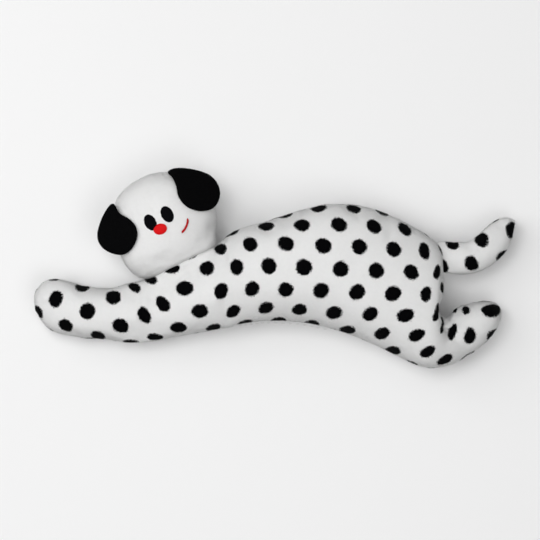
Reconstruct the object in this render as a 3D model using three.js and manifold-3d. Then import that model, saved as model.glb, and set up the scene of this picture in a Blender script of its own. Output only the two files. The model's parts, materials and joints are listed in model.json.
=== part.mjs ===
// Stuffed plush dog stretched out at full length, seen from its side with its face turned to +Z.
// Millimetres. +X runs from the front paw to the tail, +Y from belly to back, +Z up off the floor.
// Built as sewn: two cloth panels meet at one edge seam round each stuffed pad, the head and tail
// are pads of their own, and the face is embroidered. Limbs turn about upright axes at their folds.
import * as THREE from 'three';
import { mergeVertices } from 'three/addons/utils/BufferGeometryUtils.js';
import Module from 'manifold-3d';

const wasm = await Module();
wasm.setup();

// ---- driving dimensions ----
const OVERALL_LENGTH = 600; // paw tip to tail tip
const TORSO_THICKNESS = 104; // through the fullest part of the middle
const HEAD_THICKNESS = 90;
const TAIL_THICKNESS = 38;
const CLOTH = 2; // short-pile cloth, backing and pile together
const SEAM_GAP = 0.2; // each panel stops this far from the seam plane
const FILL_GAP = 0.5; // between cloth and stuffing
const JOINT_GAP = 0.5; // running clearance round a fold
const FORELEG_FOLD_MARGIN = 2.33; // how far the round of a fold reaches past the leg's edges
const HIND_LEG_FOLD_MARGIN = 1.65;
const FOLD_TOE_IN = 4; // how far the crease on the back of the knee is cut into the round
const TAIL_SOCKET_RADIUS = 22;
const LEG_SWING = 20; // degrees each way that the folds leave free
const TAIL_SWING = 25;
const NECK_VALLEY_FRONT = 9; // degrees cut from each side of the neck seam
const NECK_VALLEY_BACK = 6;
const EAR_LAYER = 2.2;
const EAR_LIFT = 1.2; // air between ear and face
const EAR_GAP = 0.3; // between the two layers of an ear
const THREAD_RADIUS = 0.6;
const STITCH_RISE = 1.1; // thickness of the embroidery
const ARC_STEPS = 9; // facets across half a section
const HEAD_STEPS = 40; // facets round the head

// The outlines below are drawn on a pattern 600 units long.
const UNIT = OVERALL_LENGTH / 600;
const THICK = TORSO_THICKNESS / 104;
const HEAD_THICK = HEAD_THICKNESS / 90;
const pt = (x, y) => new THREE.Vector2(x * UNIT, y * UNIT);

// Body sections from front paw to hind foot: back edge, belly edge, full thickness.
const BODY_SECTIONS = [
  [-295.4, -25.4, -295.4, -57.7, 42], [-283.6, -13.6, -282.4, -74.4, 52],
  [-266.3, -12.3, -268.8, -81.8, 58], [-236.5, -19.2, -241.5, -87.2, 61],
  [-206.8, -22.9, -211.7, -89.9, 62], [-182.0, -17.4, -182.0, -92.4, 63],
  [-154.7, -11.8, -152.2, -91.1, 66], [-132.4, -1.9, -122.5, -86.6, 71],
  [-102.6, 13.0, -92.7, -81.2, 78], [-70.4, 32.0, -62.9, -75.6, 86],
  [-50.5, 47.0, -43.1, -70.7, 91], [-15.8, 58.5, -10.8, -67.0, 97],
  [31.3, 73.2, 31.3, -68.8, 102], [71.0, 80.8, 71.0, -76.9, 104],
  [113.2, 76.5, 105.7, -89.3, 103], [155.3, 61.4, 133.0, -101.4, 100],
  [190.0, 41.5, 155.3, -112.2, 96], [206.2, 22.9, 172.7, -120.0, 92],
  [208.0, -4.3, 185.1, -123.1, 88], [208.6, -31.6, 195.0, -124.1, 82],
  [214.2, -50.8, 204.9, -123.4, 74], [223.5, -48.7, 222.3, -118.4, 67],
  [235.9, -44.0, 239.6, -108.5, 62], [250.8, -40.3, 257.0, -96.7, 58],
  [264.4, -39.7, 270.0, -83.7, 53], [275.0, -42.8, 278.1, -70.7, 44],
];
const PAW_TIP = pt(-299.5, -42.8);
const PAW_TIP_SEAM = 20;
const FOOT_TIP = pt(281.2, -53.9);
const FOOT_TIP_SEAM = 20;

// Tail sections from the root inside the rump: upper edge, lower edge, thickness share, seam height.
const TAIL_SECTIONS = [
  [189.5, 27.0, 189.5, 2.5, 0.52, 45], [196.0, 32.5, 196.0, -3.0, 0.60, 45],
  [204.0, 34.6, 204.0, -5.6, 0.65, 45], [213.6, 35.0, 213.6, -6.8, 0.72, 44],
  [227.2, 34.4, 229.7, -8.4, 0.88, 42], [240.9, 35.6, 245.8, -6.8, 0.98, 39],
  [252.0, 42.8, 261.9, -1.6, 1.0, 36], [261.9, 51.5, 275.6, 8.1, 1.0, 33],
  [270.6, 58.5, 286.1, 18.6, 0.97, 30], [278.1, 62.6, 292.9, 29.8, 0.9, 27],
  [286.1, 64.5, 297.3, 42.2, 0.76, 25], [292.4, 63.2, 299.0, 51.2, 0.5, 24],
];
const TAIL_ROOT = pt(186.0, 14.5);
const TAIL_TIP = pt(298.6, 59.0);

// Head outline, anticlockwise from the chin end of the neck seam.
const HEAD_OUTLINE = [
  [-175.5, -7.6], [-163, -11.2], [-152.5, -9.9], [-139, -3.9], [-126, 2.1], [-113, 8.4],
  [-100, 15.2], [-86, 22.2], [-76.5, 28.6], [-72.2, 38], [-71.5, 54], [-72.4, 71],
  [-79, 90], [-92, 105], [-112, 115.5], [-134, 119], [-156, 115.4], [-175, 106],
  [-190.5, 93.6], [-199, 79], [-201.3, 56], [-198, 31], [-189.5, 9],
].map(([x, y]) => pt(x, y));
const HEAD_CENTRE = pt(-135, 56.5);
const HEAD_SEAM = HEAD_THICKNESS * 0.47;

const EAR_LEFT_OUTLINE = [
  [-199.5, 80.2], [-207.4, 73.6], [-214.9, 59.6], [-219.8, 41.5], [-215.0, 27.7], [-202.5, 19.2],
  [-187.5, 17.2], [-176.0, 25.0], [-169.7, 39.5], [-171.5, 51.8], [-180.0, 61.0], [-192.0, 68.4],
].map(([x, y]) => pt(x, y));
const EAR_RIGHT_OUTLINE = [
  [-132.4, 119.2], [-126.0, 112.0], [-121.4, 101.0], [-117.8, 87.2], [-108.0, 76.0],
  [-92.0, 70.8], [-76.0, 74.8], [-68.2, 88.2], [-70.2, 103.6], [-81.4, 116.0],
  [-101.7, 122.6], [-121.7, 124.0],
].map(([x, y]) => pt(x, y));

// ---- joint centres ----
const SHOULDER = pt(-168, -54);
const KNEE = pt(209.9, -87.4);
const TAIL_PIVOT = pt(204, 14.5);
const KNEE_FACE = new THREE.Vector2(0.992, -0.127); // from thigh to foot
const NECK_ALONG = new THREE.Vector2(0.896, 0.444);
const NECK_OUT = new THREE.Vector2(-0.444, 0.896); // from torso to head
const NECK_CENTRE = pt(-113.5, 8.2);
const NECK_Z = HEAD_SEAM * 0.92;

// ---- mesh building ----
function meshGeometry(positions, triangles) {
  const geometry = new THREE.BufferGeometry();
  geometry.setAttribute('position', new THREE.Float32BufferAttribute(positions, 3));
  let volume = 0;
  const p = (i) => new THREE.Vector3().fromArray(positions, 3 * i);
  for (let i = 0; i < triangles.length; i += 3) {
    const [a, b, c] = [p(triangles[i]), p(triangles[i + 1]), p(triangles[i + 2])];
    volume += a.dot(b.cross(c)) / 6;
  }
  const faces = triangles.slice();
  if (volume < 0) faces.reverse();
  geometry.setIndex(faces);
  return geometry;
}

function toManifold(geometry) {
  const bare = geometry.clone();
  for (const name of ['normal', 'uv']) bare.deleteAttribute(name);
  const merged = mergeVertices(bare, 1e-4);
  return new wasm.Manifold(new wasm.Mesh({
    numProp: 3,
    vertProperties: new Float32Array(merged.attributes.position.array),
    triVerts: new Uint32Array(merged.index.array),
  }));
}

function fromManifold(solid) {
  const mesh = solid.getMesh();
  const positions = [];
  for (let i = 0; i < mesh.numVert; i++) {
    positions.push(...mesh.vertProperties.slice(i * mesh.numProp, i * mesh.numProp + 3));
  }
  const geometry = new THREE.BufferGeometry();
  geometry.setAttribute('position', new THREE.Float32BufferAttribute(positions, 3));
  geometry.setIndex(Array.from(mesh.triVerts));
  return geometry;
}

// A closed body through rings of equal length, ending in a point at each end. From `turnAt` on
// round the ring, and from ring `turnRow` on, the facets are split the other way, so that two
// pieces that lie on each other have the same facets.
function loftBetween(start, rings, end, turnAt = Infinity, turnRow = Infinity) {
  const positions = [start, ...rings.flat(), end].flatMap((v) => v.toArray());
  const n = rings[0].length;
  const last = rings.length * n + 1;
  const triangles = [];
  for (let k = 0; k < n; k++) {
    const next = (k + 1) % n;
    triangles.push(0, 1 + next, 1 + k);
    for (let r = 0; r + 1 < rings.length; r++) {
      const a = 1 + r * n;
      const [b, c] = [a + n + k, a + n + next];
      if (k < turnAt && r < turnRow) triangles.push(a + k, a + next, c, a + k, c, b);
      else triangles.push(a + k, a + next, b, a + next, c, b);
    }
    triangles.push(last, last - n + k, last - n + next);
  }
  return meshGeometry(positions, triangles);
}

// One cloth panel: an outer and an inner skin through the same rows, joined along the open edge.
// Each row runs from one seam edge over the pad to the other; the end points close the rows.
function panelBetween(outer, inner) {
  const count = outer.rows.length;
  const width = outer.rows[0].length;
  const positions = [];
  const skins = [outer, inner].map((skin) => {
    const base = positions.length / 3;
    for (const v of [skin.start, ...skin.rows.flat(), skin.end]) positions.push(...v.toArray());
    return (r, t) => {
      if (r < 0) return base;
      return r >= count ? base + 1 + count * width : base + 1 + r * width + t;
    };
  });
  const triangles = [];
  const face = (a, b, c) => {
    if (a !== b && b !== c && c !== a) triangles.push(a, b, c);
  };
  const [out, inn] = skins;
  for (let r = -1; r < count; r++) {
    for (let t = 0; t + 1 < width; t++) {
      face(out(r, t), out(r + 1, t), out(r + 1, t + 1));
      face(out(r, t), out(r + 1, t + 1), out(r, t + 1));
      face(inn(r, t), inn(r + 1, t + 1), inn(r + 1, t));
      face(inn(r, t), inn(r, t + 1), inn(r + 1, t + 1));
    }
    face(out(r, 0), inn(r + 1, 0), out(r + 1, 0));
    face(out(r, 0), inn(r, 0), inn(r + 1, 0));
    const e = width - 1;
    face(out(r, e), out(r + 1, e), inn(r + 1, e));
    face(out(r, e), inn(r + 1, e), inn(r, e));
  }
  return meshGeometry(positions, triangles);
}

// ---- long stuffed pads (body, tail) ----
// One row across a section, seam edge to seam edge, on the +Z (side 1) or -Z (side -1) half.
function sectionRow(section, side, inset, gap) {
  const middle = section.upper.clone().add(section.lower).multiplyScalar(0.5);
  const across = section.upper.clone().sub(section.lower).multiplyScalar(0.5);
  const half = across.length();
  across.multiplyScalar((half - inset) / half);
  const row = [];
  for (let k = 0; k <= ARC_STEPS; k++) {
    const angle = (Math.PI * k) / ARC_STEPS;
    const bulge = Math.pow(Math.sin(angle), 0.86);
    const x = middle.x + across.x * Math.cos(angle);
    const y = middle.y + across.y * Math.cos(angle);
    const reach = (side > 0 ? section.rise : section.drop * section.press) - gap - inset;
    let z = section.seam + side * (gap + reach * bulge);
    if (side < 0) z = Math.max(z, section.seam - section.drop + inset);
    row.push(new THREE.Vector3(x, y, z));
  }
  return row;
}

function skinOf(pad, side, inset, gap) {
  const tip = (end, next, seam) => {
    const middle = next.upper.clone().add(next.lower).multiplyScalar(0.5);
    const inward = middle.sub(end);
    const at = end.clone().addScaledVector(inward, inset / inward.length());
    return new THREE.Vector3(at.x, at.y, seam + side * gap);
  };
  const rows = pad.sections.map((section) => sectionRow(section, side, inset, gap));
  const last = pad.sections[pad.sections.length - 1];
  return {
    start: tip(pad.start, pad.sections[0], pad.startSeam),
    rows,
    end: tip(pad.end, last, pad.endSeam),
  };
}

function padPanel(pad, side) {
  return panelBetween(skinOf(pad, side, 0, SEAM_GAP), skinOf(pad, side, CLOTH, SEAM_GAP));
}

function padCore(pad, inset) {
  const top = skinOf(pad, 1, inset, 0);
  const bottom = skinOf(pad, -1, inset, 0);
  const rings = top.rows.map((row, i) => [...row, ...bottom.rows[i].slice(1, -1).reverse()]);
  return loftBetween(top.start, rings, top.end, ARC_STEPS);
}

// Beside the neck the body is as thick as the head needs it, and elsewhere as the torso is.
const NECK_STRETCH = [-185, -157, -70, -40];
function bodyHeight(x, thickness) {
  const [a, b, c, d] = NECK_STRETCH;
  const share = THREE.MathUtils.smoothstep(x, a, b) * (1 - THREE.MathUtils.smoothstep(x, c, d));
  return (thickness / 2) * THREE.MathUtils.lerp(THICK, HEAD_THICK, share);
}
const bodyPad = {
  sections: BODY_SECTIONS.map(([ux, uy, lx, ly, thickness]) => ({
    upper: pt(ux, uy),
    lower: pt(lx, ly),
    seam: bodyHeight(ux, thickness),
    rise: bodyHeight(ux, thickness),
    drop: bodyHeight(ux, thickness),
    press: 1.07,
  })),
  start: PAW_TIP,
  startSeam: PAW_TIP_SEAM * THICK,
  end: FOOT_TIP,
  endSeam: FOOT_TIP_SEAM * THICK,
};

const tailPad = {
  sections: TAIL_SECTIONS.map(([ux, uy, lx, ly, share, seam]) => ({
    upper: pt(ux, uy),
    lower: pt(lx, ly),
    seam: seam * THICK,
    rise: (share * TAIL_THICKNESS) / 2,
    drop: (share * TAIL_THICKNESS) / 2,
    press: 1,
  })),
  start: TAIL_ROOT,
  startSeam: 45 * THICK,
  end: TAIL_TIP,
  endSeam: 24 * THICK,
};

// ---- round stuffed pad (head) ----
const headEdge = new THREE.CatmullRomCurve3(
  HEAD_OUTLINE.map((v) => new THREE.Vector3(v.x, v.y, 0)), true, 'centripetal',
).getSpacedPoints(HEAD_STEPS).slice(0, HEAD_STEPS).map((v) => new THREE.Vector2(v.x, v.y));

// Share of the way from the head's centre to its edge, for a point (x, y).
function headShare(x, y) {
  const from = new THREE.Vector2(x, y).sub(HEAD_CENTRE);
  if (from.length() < 1e-6) return 0;
  for (let k = 0; k < headEdge.length; k++) {
    const a = headEdge[k].clone().sub(HEAD_CENTRE);
    const b = headEdge[(k + 1) % headEdge.length].clone().sub(HEAD_CENTRE);
    const span = a.cross(b);
    const u = from.cross(b) / span;
    const v = a.cross(from) / span;
    if (u >= -1e-9 && v >= -1e-9) return u + v;
  }
  return 1;
}

const headBulge = (share) => Math.pow(Math.max(0, 1 - Math.pow(share, 2.3)), 0.52);
const headRise = HEAD_THICKNESS - HEAD_SEAM;

function headHeight(share, side, inset, gap) {
  if (side > 0) return HEAD_SEAM + gap + (headRise - gap - inset) * headBulge(share);
  const fall = (HEAD_SEAM * 1.06 - gap - inset) * headBulge(share);
  return Math.max(inset, HEAD_SEAM - gap - fall);
}

const HEAD_RINGS = [0.22, 0.42, 0.6, 0.74, 0.85, 0.93, 0.98, 1];

function headSkin(side, inset, gap) {
  const rings = HEAD_RINGS.map((share) => headEdge.map((edge) => {
    const spoke = edge.clone().sub(HEAD_CENTRE);
    spoke.multiplyScalar((share * (spoke.length() - inset)) / spoke.length());
    const z = headHeight(share, side, inset, gap);
    return new THREE.Vector3(HEAD_CENTRE.x + spoke.x, HEAD_CENTRE.y + spoke.y, z);
  }));
  const pole = new THREE.Vector3(HEAD_CENTRE.x, HEAD_CENTRE.y, headHeight(0, side, inset, gap));
  return { pole, rings };
}

function headPanel(side) {
  const outer = headSkin(side, 0, SEAM_GAP);
  const inner = headSkin(side, CLOTH, SEAM_GAP);
  return loftBetween(outer.pole, [...outer.rings, ...inner.rings.reverse()], inner.pole);
}

function headCore(inset) {
  const top = headSkin(1, inset, 0);
  const bottom = headSkin(-1, inset, 0);
  return loftBetween(top.pole, [...top.rings, ...bottom.rings.slice(0, -1).reverse()], bottom.pole);
}

// ---- flat pieces that follow the face ----
// A piece with the given outline, its faces at low(x, y, share) and high(x, y, share).
function piece(outline, steps, shares, low, high) {
  const edge = new THREE.CatmullRomCurve3(
    outline.map((v) => new THREE.Vector3(v.x, v.y, 0)), true, 'centripetal',
  ).getSpacedPoints(steps).slice(0, steps);
  const centre = new THREE.Vector3();
  for (const v of edge) centre.addScaledVector(v, 1 / edge.length);
  const ring = (share, height) => edge.map((v) => {
    const at = centre.clone().lerp(v, share);
    at.z = height(at.x, at.y, share);
    return at;
  });
  const pole = (height) => centre.clone().setZ(height(centre.x, centre.y, 0));
  const tops = shares.map((share) => ring(share, high));
  const bottoms = shares.map((share) => ring(share, low)).reverse();
  return loftBetween(pole(high), [...tops, ...bottoms], pole(low), Infinity, tops.length);
}

function ellipseOutline(x, y, width, length, dirX, dirY) {
  const centre = pt(x, y);
  const along = new THREE.Vector2(dirX, dirY).normalize();
  const points = [];
  for (let k = 0; k < 16; k++) {
    const angle = (2 * Math.PI * k) / 16;
    const a = (Math.cos(angle) * length * UNIT) / 2;
    const b = (Math.sin(angle) * width * UNIT) / 2;
    points.push(new THREE.Vector2(
      centre.x + along.x * a - along.y * b, centre.y + along.y * a + along.x * b));
  }
  return points;
}

const faceHeight = (x, y) => headHeight(headShare(x, y), 1, 0, SEAM_GAP);
const stitchLow = (x, y) => faceHeight(x, y) + 0.35;
const stitchHigh = (x, y, share) => (
  faceHeight(x, y) + 0.35 + STITCH_RISE * (0.55 + 0.45 * Math.sqrt(Math.max(0, 1 - share * share))));

// The ear lies on the face near its inner edge and stands off towards the head's rim.
function earUnder(x, y) {
  const share = headShare(x, y);
  const t = Math.min(1, Math.max(0, (share - 0.6) / 0.75));
  const ease = 1 + 0.36 * t * t * (3 - 2 * t);
  return headHeight(share / ease, 1, 0, 0) + EAR_LIFT;
}
const earShares = [0.3, 0.6, 0.85, 1];
const earLining = (outline) => piece(outline, 28, earShares, earUnder,
  (x, y) => earUnder(x, y) + EAR_LAYER);
const earFront = (outline) => piece(outline, 28, earShares,
  (x, y) => earUnder(x, y) + EAR_LAYER + EAR_GAP,
  (x, y, share) => earUnder(x, y) + 2 * EAR_LAYER + EAR_GAP + 1.8 * (1 - share * share));

// A sewing thread laid along a path.
function thread(path, radius) {
  const rings = path.map((at, i) => {
    const before = path[Math.max(0, i - 1)];
    const after = path[Math.min(path.length - 1, i + 1)];
    const along = after.clone().sub(before).normalize();
    const side = new THREE.Vector3(-along.y, along.x, 0).normalize();
    const rise = along.clone().cross(side);
    return [0, 1, 2, 3, 4, 5].map((k) => at.clone()
      .addScaledVector(side, radius * Math.cos((k * Math.PI) / 3))
      .addScaledVector(rise, radius * Math.sin((k * Math.PI) / 3)));
  });
  const first = path[0].clone().sub(path[1]).setLength(radius * 0.5).add(path[0]);
  const n = path.length;
  const final = path[n - 1].clone().sub(path[n - 2]).setLength(radius * 0.5).add(path[n - 1]);
  return loftBetween(first, rings, final);
}

// ---- cutters ----
function uprightCylinder(centre, radius) {
  const geometry = new THREE.CylinderGeometry(radius, radius, 400, 96);
  geometry.rotateX(Math.PI / 2);
  geometry.translate(centre.x, centre.y, 0);
  return toManifold(geometry);
}

// Everything on the side of `at` that `facing` points to, as a large block.
function blockBeyond(at, facing, start = 0) {
  const size = 4 * OVERALL_LENGTH;
  const geometry = new THREE.BoxGeometry(size, size, size);
  geometry.translate(size / 2 + start, 0, 0);
  geometry.rotateZ(Math.atan2(facing.y, facing.x));
  geometry.translate(at.x, at.y, 0);
  return toManifold(geometry);
}

// A bar along the neck seam whose section is given in (out, z) about the seam line.
function neckBar(section, from, to) {
  const shape = new THREE.Shape(section.map(([out, z]) => new THREE.Vector2(out, z)));
  const geometry = new THREE.ExtrudeGeometry(shape, { depth: to - from, bevelEnabled: false });
  geometry.translate(0, 0, from);
  const basis = new THREE.Matrix4().makeBasis(
    new THREE.Vector3(NECK_OUT.x, NECK_OUT.y, 0),
    new THREE.Vector3(0, 0, 1),
    new THREE.Vector3(NECK_ALONG.x, NECK_ALONG.y, 0),
  );
  geometry.applyMatrix4(basis);
  geometry.translate(NECK_CENTRE.x, NECK_CENTRE.y, NECK_Z);
  return toManifold(geometry);
}

// A flat wedge with its point at `at`, between two directions in degrees, starting at a radius.
function wedge(at, radius, from, to) {
  const shape = new THREE.Shape();
  const far = OVERALL_LENGTH * 0.3;
  const dir = (degrees, r) => {
    const a = THREE.MathUtils.degToRad(degrees);
    return [at.x + r * Math.cos(a), at.y + r * Math.sin(a)];
  };
  shape.moveTo(...dir(from, radius));
  shape.lineTo(...dir(from, far));
  shape.lineTo(...dir(to, far));
  shape.lineTo(...dir(to, radius));
  const geometry = new THREE.ExtrudeGeometry(shape, { depth: 400, bevelEnabled: false });
  geometry.translate(0, 0, -200);
  return toManifold(geometry);
}

const FRONT_SIDE = new THREE.Vector2(-1, 0);
const BACK_SIDE = new THREE.Vector2(1, 0);
// A fold's round covers the leg: it reaches past the farther of the leg's two edges.
function foldRadius(centre, margin) {
  const away = ['upper', 'lower'].map((edge) => {
    let least = Infinity;
    for (let i = 1; i < bodyPad.sections.length; i++) {
      const line = new THREE.Line3(...[i - 1, i].map((k) => {
        const v = bodyPad.sections[k][edge];
        return new THREE.Vector3(v.x, v.y, 0);
      }));
      const at = new THREE.Vector3(centre.x, centre.y, 0);
      least = Math.min(least, line.closestPointToPoint(at, true, new THREE.Vector3()).distanceTo(at));
    }
    return least;
  });
  return Math.max(...away) + margin;
}
const forelegFold = foldRadius(SHOULDER, FORELEG_FOLD_MARGIN);
const hindLegFold = foldRadius(KNEE, HIND_LEG_FOLD_MARGIN);
const forelegRegion = blockBeyond(SHOULDER, FRONT_SIDE)
  .add(uprightCylinder(SHOULDER, forelegFold));
const kneeFaceAngle = THREE.MathUtils.radToDeg(Math.atan2(KNEE_FACE.y, KNEE_FACE.x));
const hindLegRegion = blockBeyond(KNEE, KNEE_FACE)
  .subtract(wedge(KNEE, hindLegFold - FOLD_TOE_IN, kneeFaceAngle + 90 - LEG_SWING, kneeFaceAngle + 96))
  .add(uprightCylinder(KNEE, hindLegFold));

const reach = 1.5 * HEAD_THICKNESS;
const valleyFront = Math.tan(THREE.MathUtils.degToRad(NECK_VALLEY_FRONT)) * reach;
const valleyBack = Math.tan(THREE.MathUtils.degToRad(NECK_VALLEY_BACK)) * reach;
const headTrim = neckBar([
  [0, 0], [valleyFront, reach], [-reach, reach], [-reach, -reach], [valleyBack, -reach],
], -OVERALL_LENGTH * 0.2, OVERALL_LENGTH * 0.2);
const torsoTrim = neckBar([
  [0, 0], [valleyBack * -1, -reach], [reach, -reach], [reach, reach], [valleyFront * -1, reach],
], -60 * UNIT, 47 * UNIT);
const seamChannel = toManifold(thread([
  new THREE.Vector3(-62, 0, 0), new THREE.Vector3(62, 0, 0),
].map((v) => new THREE.Vector3(
  NECK_CENTRE.x + v.x * UNIT * NECK_ALONG.x, NECK_CENTRE.y + v.x * UNIT * NECK_ALONG.y, NECK_Z,
)), THREAD_RADIUS + 0.8));

// The pocket in the rump's edge seam that the tail's root turns in.
const tailPocket = (() => {
  const lift = (TAIL_SECTIONS[2][4] * TAIL_THICKNESS) / 2 + JOINT_GAP + 0.6;
  const profile = [];
  for (let k = 0; k <= 10; k++) {
    const a = -Math.PI / 2 + (Math.PI * k) / 10;
    profile.push(new THREE.Vector2(
      Math.max(0, Math.cos(a)) * TAIL_SOCKET_RADIUS * UNIT,
      Math.sign(Math.sin(a)) * Math.pow(Math.abs(Math.sin(a)), 0.8) * lift * 1.04));
  }
  profile[0].x = 0;
  profile[10].x = 0;
  const ball = new THREE.LatheGeometry(profile, 48);
  ball.rotateX(Math.PI / 2);
  ball.translate(TAIL_PIVOT.x, TAIL_PIVOT.y, 45 * THICK);
  let pocket = toManifold(ball);
  const roomy = toManifold(padCore(tailPad, -JOINT_GAP - 0.3));
  const steps = 4;
  for (let k = -steps; k <= steps; k++) {
    pocket = pocket.add(roomy.translate([-TAIL_PIVOT.x, -TAIL_PIVOT.y, 0])
      .rotate([0, 0, (k * (TAIL_SWING + 1)) / steps])
      .translate([TAIL_PIVOT.x, TAIL_PIVOT.y, 0]));
  }
  return pocket;
})();

// ---- materials ----
const plush = () => new THREE.MeshStandardMaterial({ color: 0xf1f1f0, roughness: 0.98, metalness: 0 });
const filling = () => new THREE.MeshStandardMaterial({ color: 0xf7f7f4, roughness: 1, metalness: 0 });
const velvet = () => new THREE.MeshStandardMaterial({ color: 0x0b0b0c, roughness: 0.95, metalness: 0 });
const blackThread = () => new THREE.MeshStandardMaterial({ color: 0x09090a, roughness: 0.75, metalness: 0 });
const redThread = () => new THREE.MeshStandardMaterial({ color: 0xe5121b, roughness: 0.65, metalness: 0 });
const smileThread = () => new THREE.MeshStandardMaterial({ color: 0xc3202f, roughness: 0.65, metalness: 0 });
const whiteThread = () => new THREE.MeshStandardMaterial({ color: 0xe9e9e6, roughness: 0.8, metalness: 0 });

function node(name, geometry, material) {
  const flat = geometry.index ? geometry : mergeVertices(geometry);
  flat.computeVertexNormals();
  const mesh = new THREE.Mesh(flat, material);
  mesh.name = name;
  return mesh;
}

// ---- body: one pair of panels from paw to hind foot, folded at the shoulder and the knee ----
function buildBody() {
  const torso = new THREE.Group();
  torso.name = 'torso';
  const foreleg = new THREE.Group();
  foreleg.name = 'foreleg';
  const hindLeg = new THREE.Group();
  hindLeg.name = 'hind_leg';
  const grownForeleg = blockBeyond(SHOULDER, FRONT_SIDE, -JOINT_GAP)
    .add(uprightCylinder(SHOULDER, forelegFold + JOINT_GAP));
  const grownHindLeg = blockBeyond(KNEE, KNEE_FACE, -JOINT_GAP)
    .add(uprightCylinder(KNEE, hindLegFold + JOINT_GAP));
  const pieces = [
    ['top_panel', padPanel(bodyPad, 1), plush],
    ['bottom_panel', padPanel(bodyPad, -1), plush],
    ['stuffing', padCore(bodyPad, CLOTH + FILL_GAP), filling],
  ];
  for (const [name, geometry, material] of pieces) {
    const whole = toManifold(geometry);
    foreleg.add(node(`foreleg_${name}`, fromManifold(whole.intersect(forelegRegion)), material()));
    hindLeg.add(node(`hind_leg_${name}`, fromManifold(whole.intersect(hindLegRegion)), material()));
    const middle = whole.subtract(grownForeleg).subtract(grownHindLeg)
      .subtract(torsoTrim).subtract(seamChannel).subtract(tailPocket);
    torso.add(node(`torso_${name}`, fromManifold(middle), material()));
  }
  torso.add(node('closing_thread', closingThread(), whiteThread()));
  torso.add(node('neck_seam_thread', neckThread(), whiteThread()));
  return [torso, foreleg, hindLeg];
}

// The thread of the ladder stitches along the neck seam, on the line the head folds about.
function neckThread() {
  return thread([-44, -15, 15, 40].map((along) => new THREE.Vector3(
    NECK_CENTRE.x + along * UNIT * NECK_ALONG.x, NECK_CENTRE.y + along * UNIT * NECK_ALONG.y, NECK_Z,
  )), THREAD_RADIUS);
}

// Hand stitches that close the stuffing slot on the belly edge seam.
function closingThread() {
  const [a, b] = [bodyPad.sections[11], bodyPad.sections[13]];
  const mid = bodyPad.sections[12];
  const curve = new THREE.QuadraticBezierCurve(
    a.lower, mid.lower.clone().multiplyScalar(2).sub(a.lower.clone().add(b.lower).multiplyScalar(0.5)),
    b.lower);
  const path = [];
  const stitches = 14;
  for (let k = 0; k <= stitches; k++) {
    const share = k / stitches;
    const at = curve.getPoint(share);
    const seam = THREE.MathUtils.lerp(a.seam, b.seam, share);
    path.push(new THREE.Vector3(at.x, at.y - 1.2 - THREAD_RADIUS, seam + (k % 2 ? 1.6 : -1.6)));
  }
  return thread(path, THREAD_RADIUS);
}

function buildHead() {
  const head = new THREE.Group();
  head.name = 'head';
  const pieces = [
    ['head_face_panel', headPanel(1), plush],
    ['head_back_panel', headPanel(-1), plush],
    ['head_stuffing', headCore(CLOTH + FILL_GAP), filling],
  ];
  for (const [name, geometry, material] of pieces) {
    const solid = toManifold(geometry).subtract(headTrim).subtract(seamChannel);
    head.add(node(name, fromManifold(solid), material()));
  }
  head.add(...buildFace());
  return head;
}

function buildFace() {
  const shares = [0.45, 0.8, 1];
  const patch = (outline, grow = 0) => piece(outline, 20, shares,
    (x, y) => stitchLow(x, y) - grow, (x, y, share) => stitchHigh(x, y, share) + grow);
  const noseSize = [13, 16.8];
  const nose = ellipseOutline(-141, 48.4, ...noseSize, 0.96, 0.28);
  const noseRoom = ellipseOutline(-141, 48.4, noseSize[0] + 0.8, noseSize[1] + 0.8, 0.96, 0.28);
  const eyeLeft = ellipseOutline(-153.2, 56.6, 14.4, 20.8, 0.48, -0.87);
  const eyeRight = ellipseOutline(-132.5, 66.7, 14.8, 20.8, 0.48, -0.87);
  const leftSolid = toManifold(patch(eyeLeft)).subtract(toManifold(patch(noseRoom, 3)));
  const smilePath = [[-107.2, 61.2], [-107.3, 57.2], [-108.6, 52.6], [-111, 48], [-114.6, 44]];
  return [
    node('eye_left', fromManifold(leftSolid), blackThread()),
    node('eye_right', patch(eyeRight), blackThread()),
    node('nose', patch(nose), redThread()),
    node('smile', ribbon(smilePath.map(([x, y]) => pt(x, y)), 2.2 * UNIT), smileThread()),
  ];
}

// A narrow band of satin stitch following a path on the face, pointed at both ends.
function ribbon(path, width) {
  const rings = [];
  for (let i = 1; i + 1 < path.length; i++) {
    const along = path[i + 1].clone().sub(path[i - 1]).normalize();
    const side = new THREE.Vector2(-along.y, along.x).multiplyScalar(width / 2);
    const left = path[i].clone().add(side);
    const right = path[i].clone().sub(side);
    rings.push([
      new THREE.Vector3(left.x, left.y, stitchLow(left.x, left.y)),
      new THREE.Vector3(right.x, right.y, stitchLow(right.x, right.y)),
      new THREE.Vector3(right.x, right.y, stitchHigh(right.x, right.y, 0.9)),
      new THREE.Vector3(path[i].x, path[i].y, stitchHigh(path[i].x, path[i].y, 0)),
      new THREE.Vector3(left.x, left.y, stitchHigh(left.x, left.y, 0.9)),
    ]);
  }
  const tip = (v) => new THREE.Vector3(v.x, v.y, stitchLow(v.x, v.y) + 0.3);
  return loftBetween(tip(path[0]), rings, tip(path[path.length - 1]));
}

function buildTail() {
  const tail = new THREE.Group();
  tail.name = 'tail';
  tail.add(node('tail_top_panel', padPanel(tailPad, 1), plush()));
  tail.add(node('tail_bottom_panel', padPanel(tailPad, -1), plush()));
  tail.add(node('tail_stuffing', padCore(tailPad, CLOTH + FILL_GAP), filling()));
  return tail;
}

function buildEar(name, outline) {
  const ear = new THREE.Group();
  ear.name = name;
  ear.add(node(`${name}_front`, earFront(outline), velvet()));
  ear.add(node(`${name}_lining`, earLining(outline), velvet()));
  return ear;
}

const group = new THREE.Group();
group.name = 'plush_dog';
group.add(...buildBody(), buildHead(), buildTail());
group.add(buildEar('ear_left', EAR_LEFT_OUTLINE), buildEar('ear_right', EAR_RIGHT_OUTLINE));

export default group;
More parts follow.
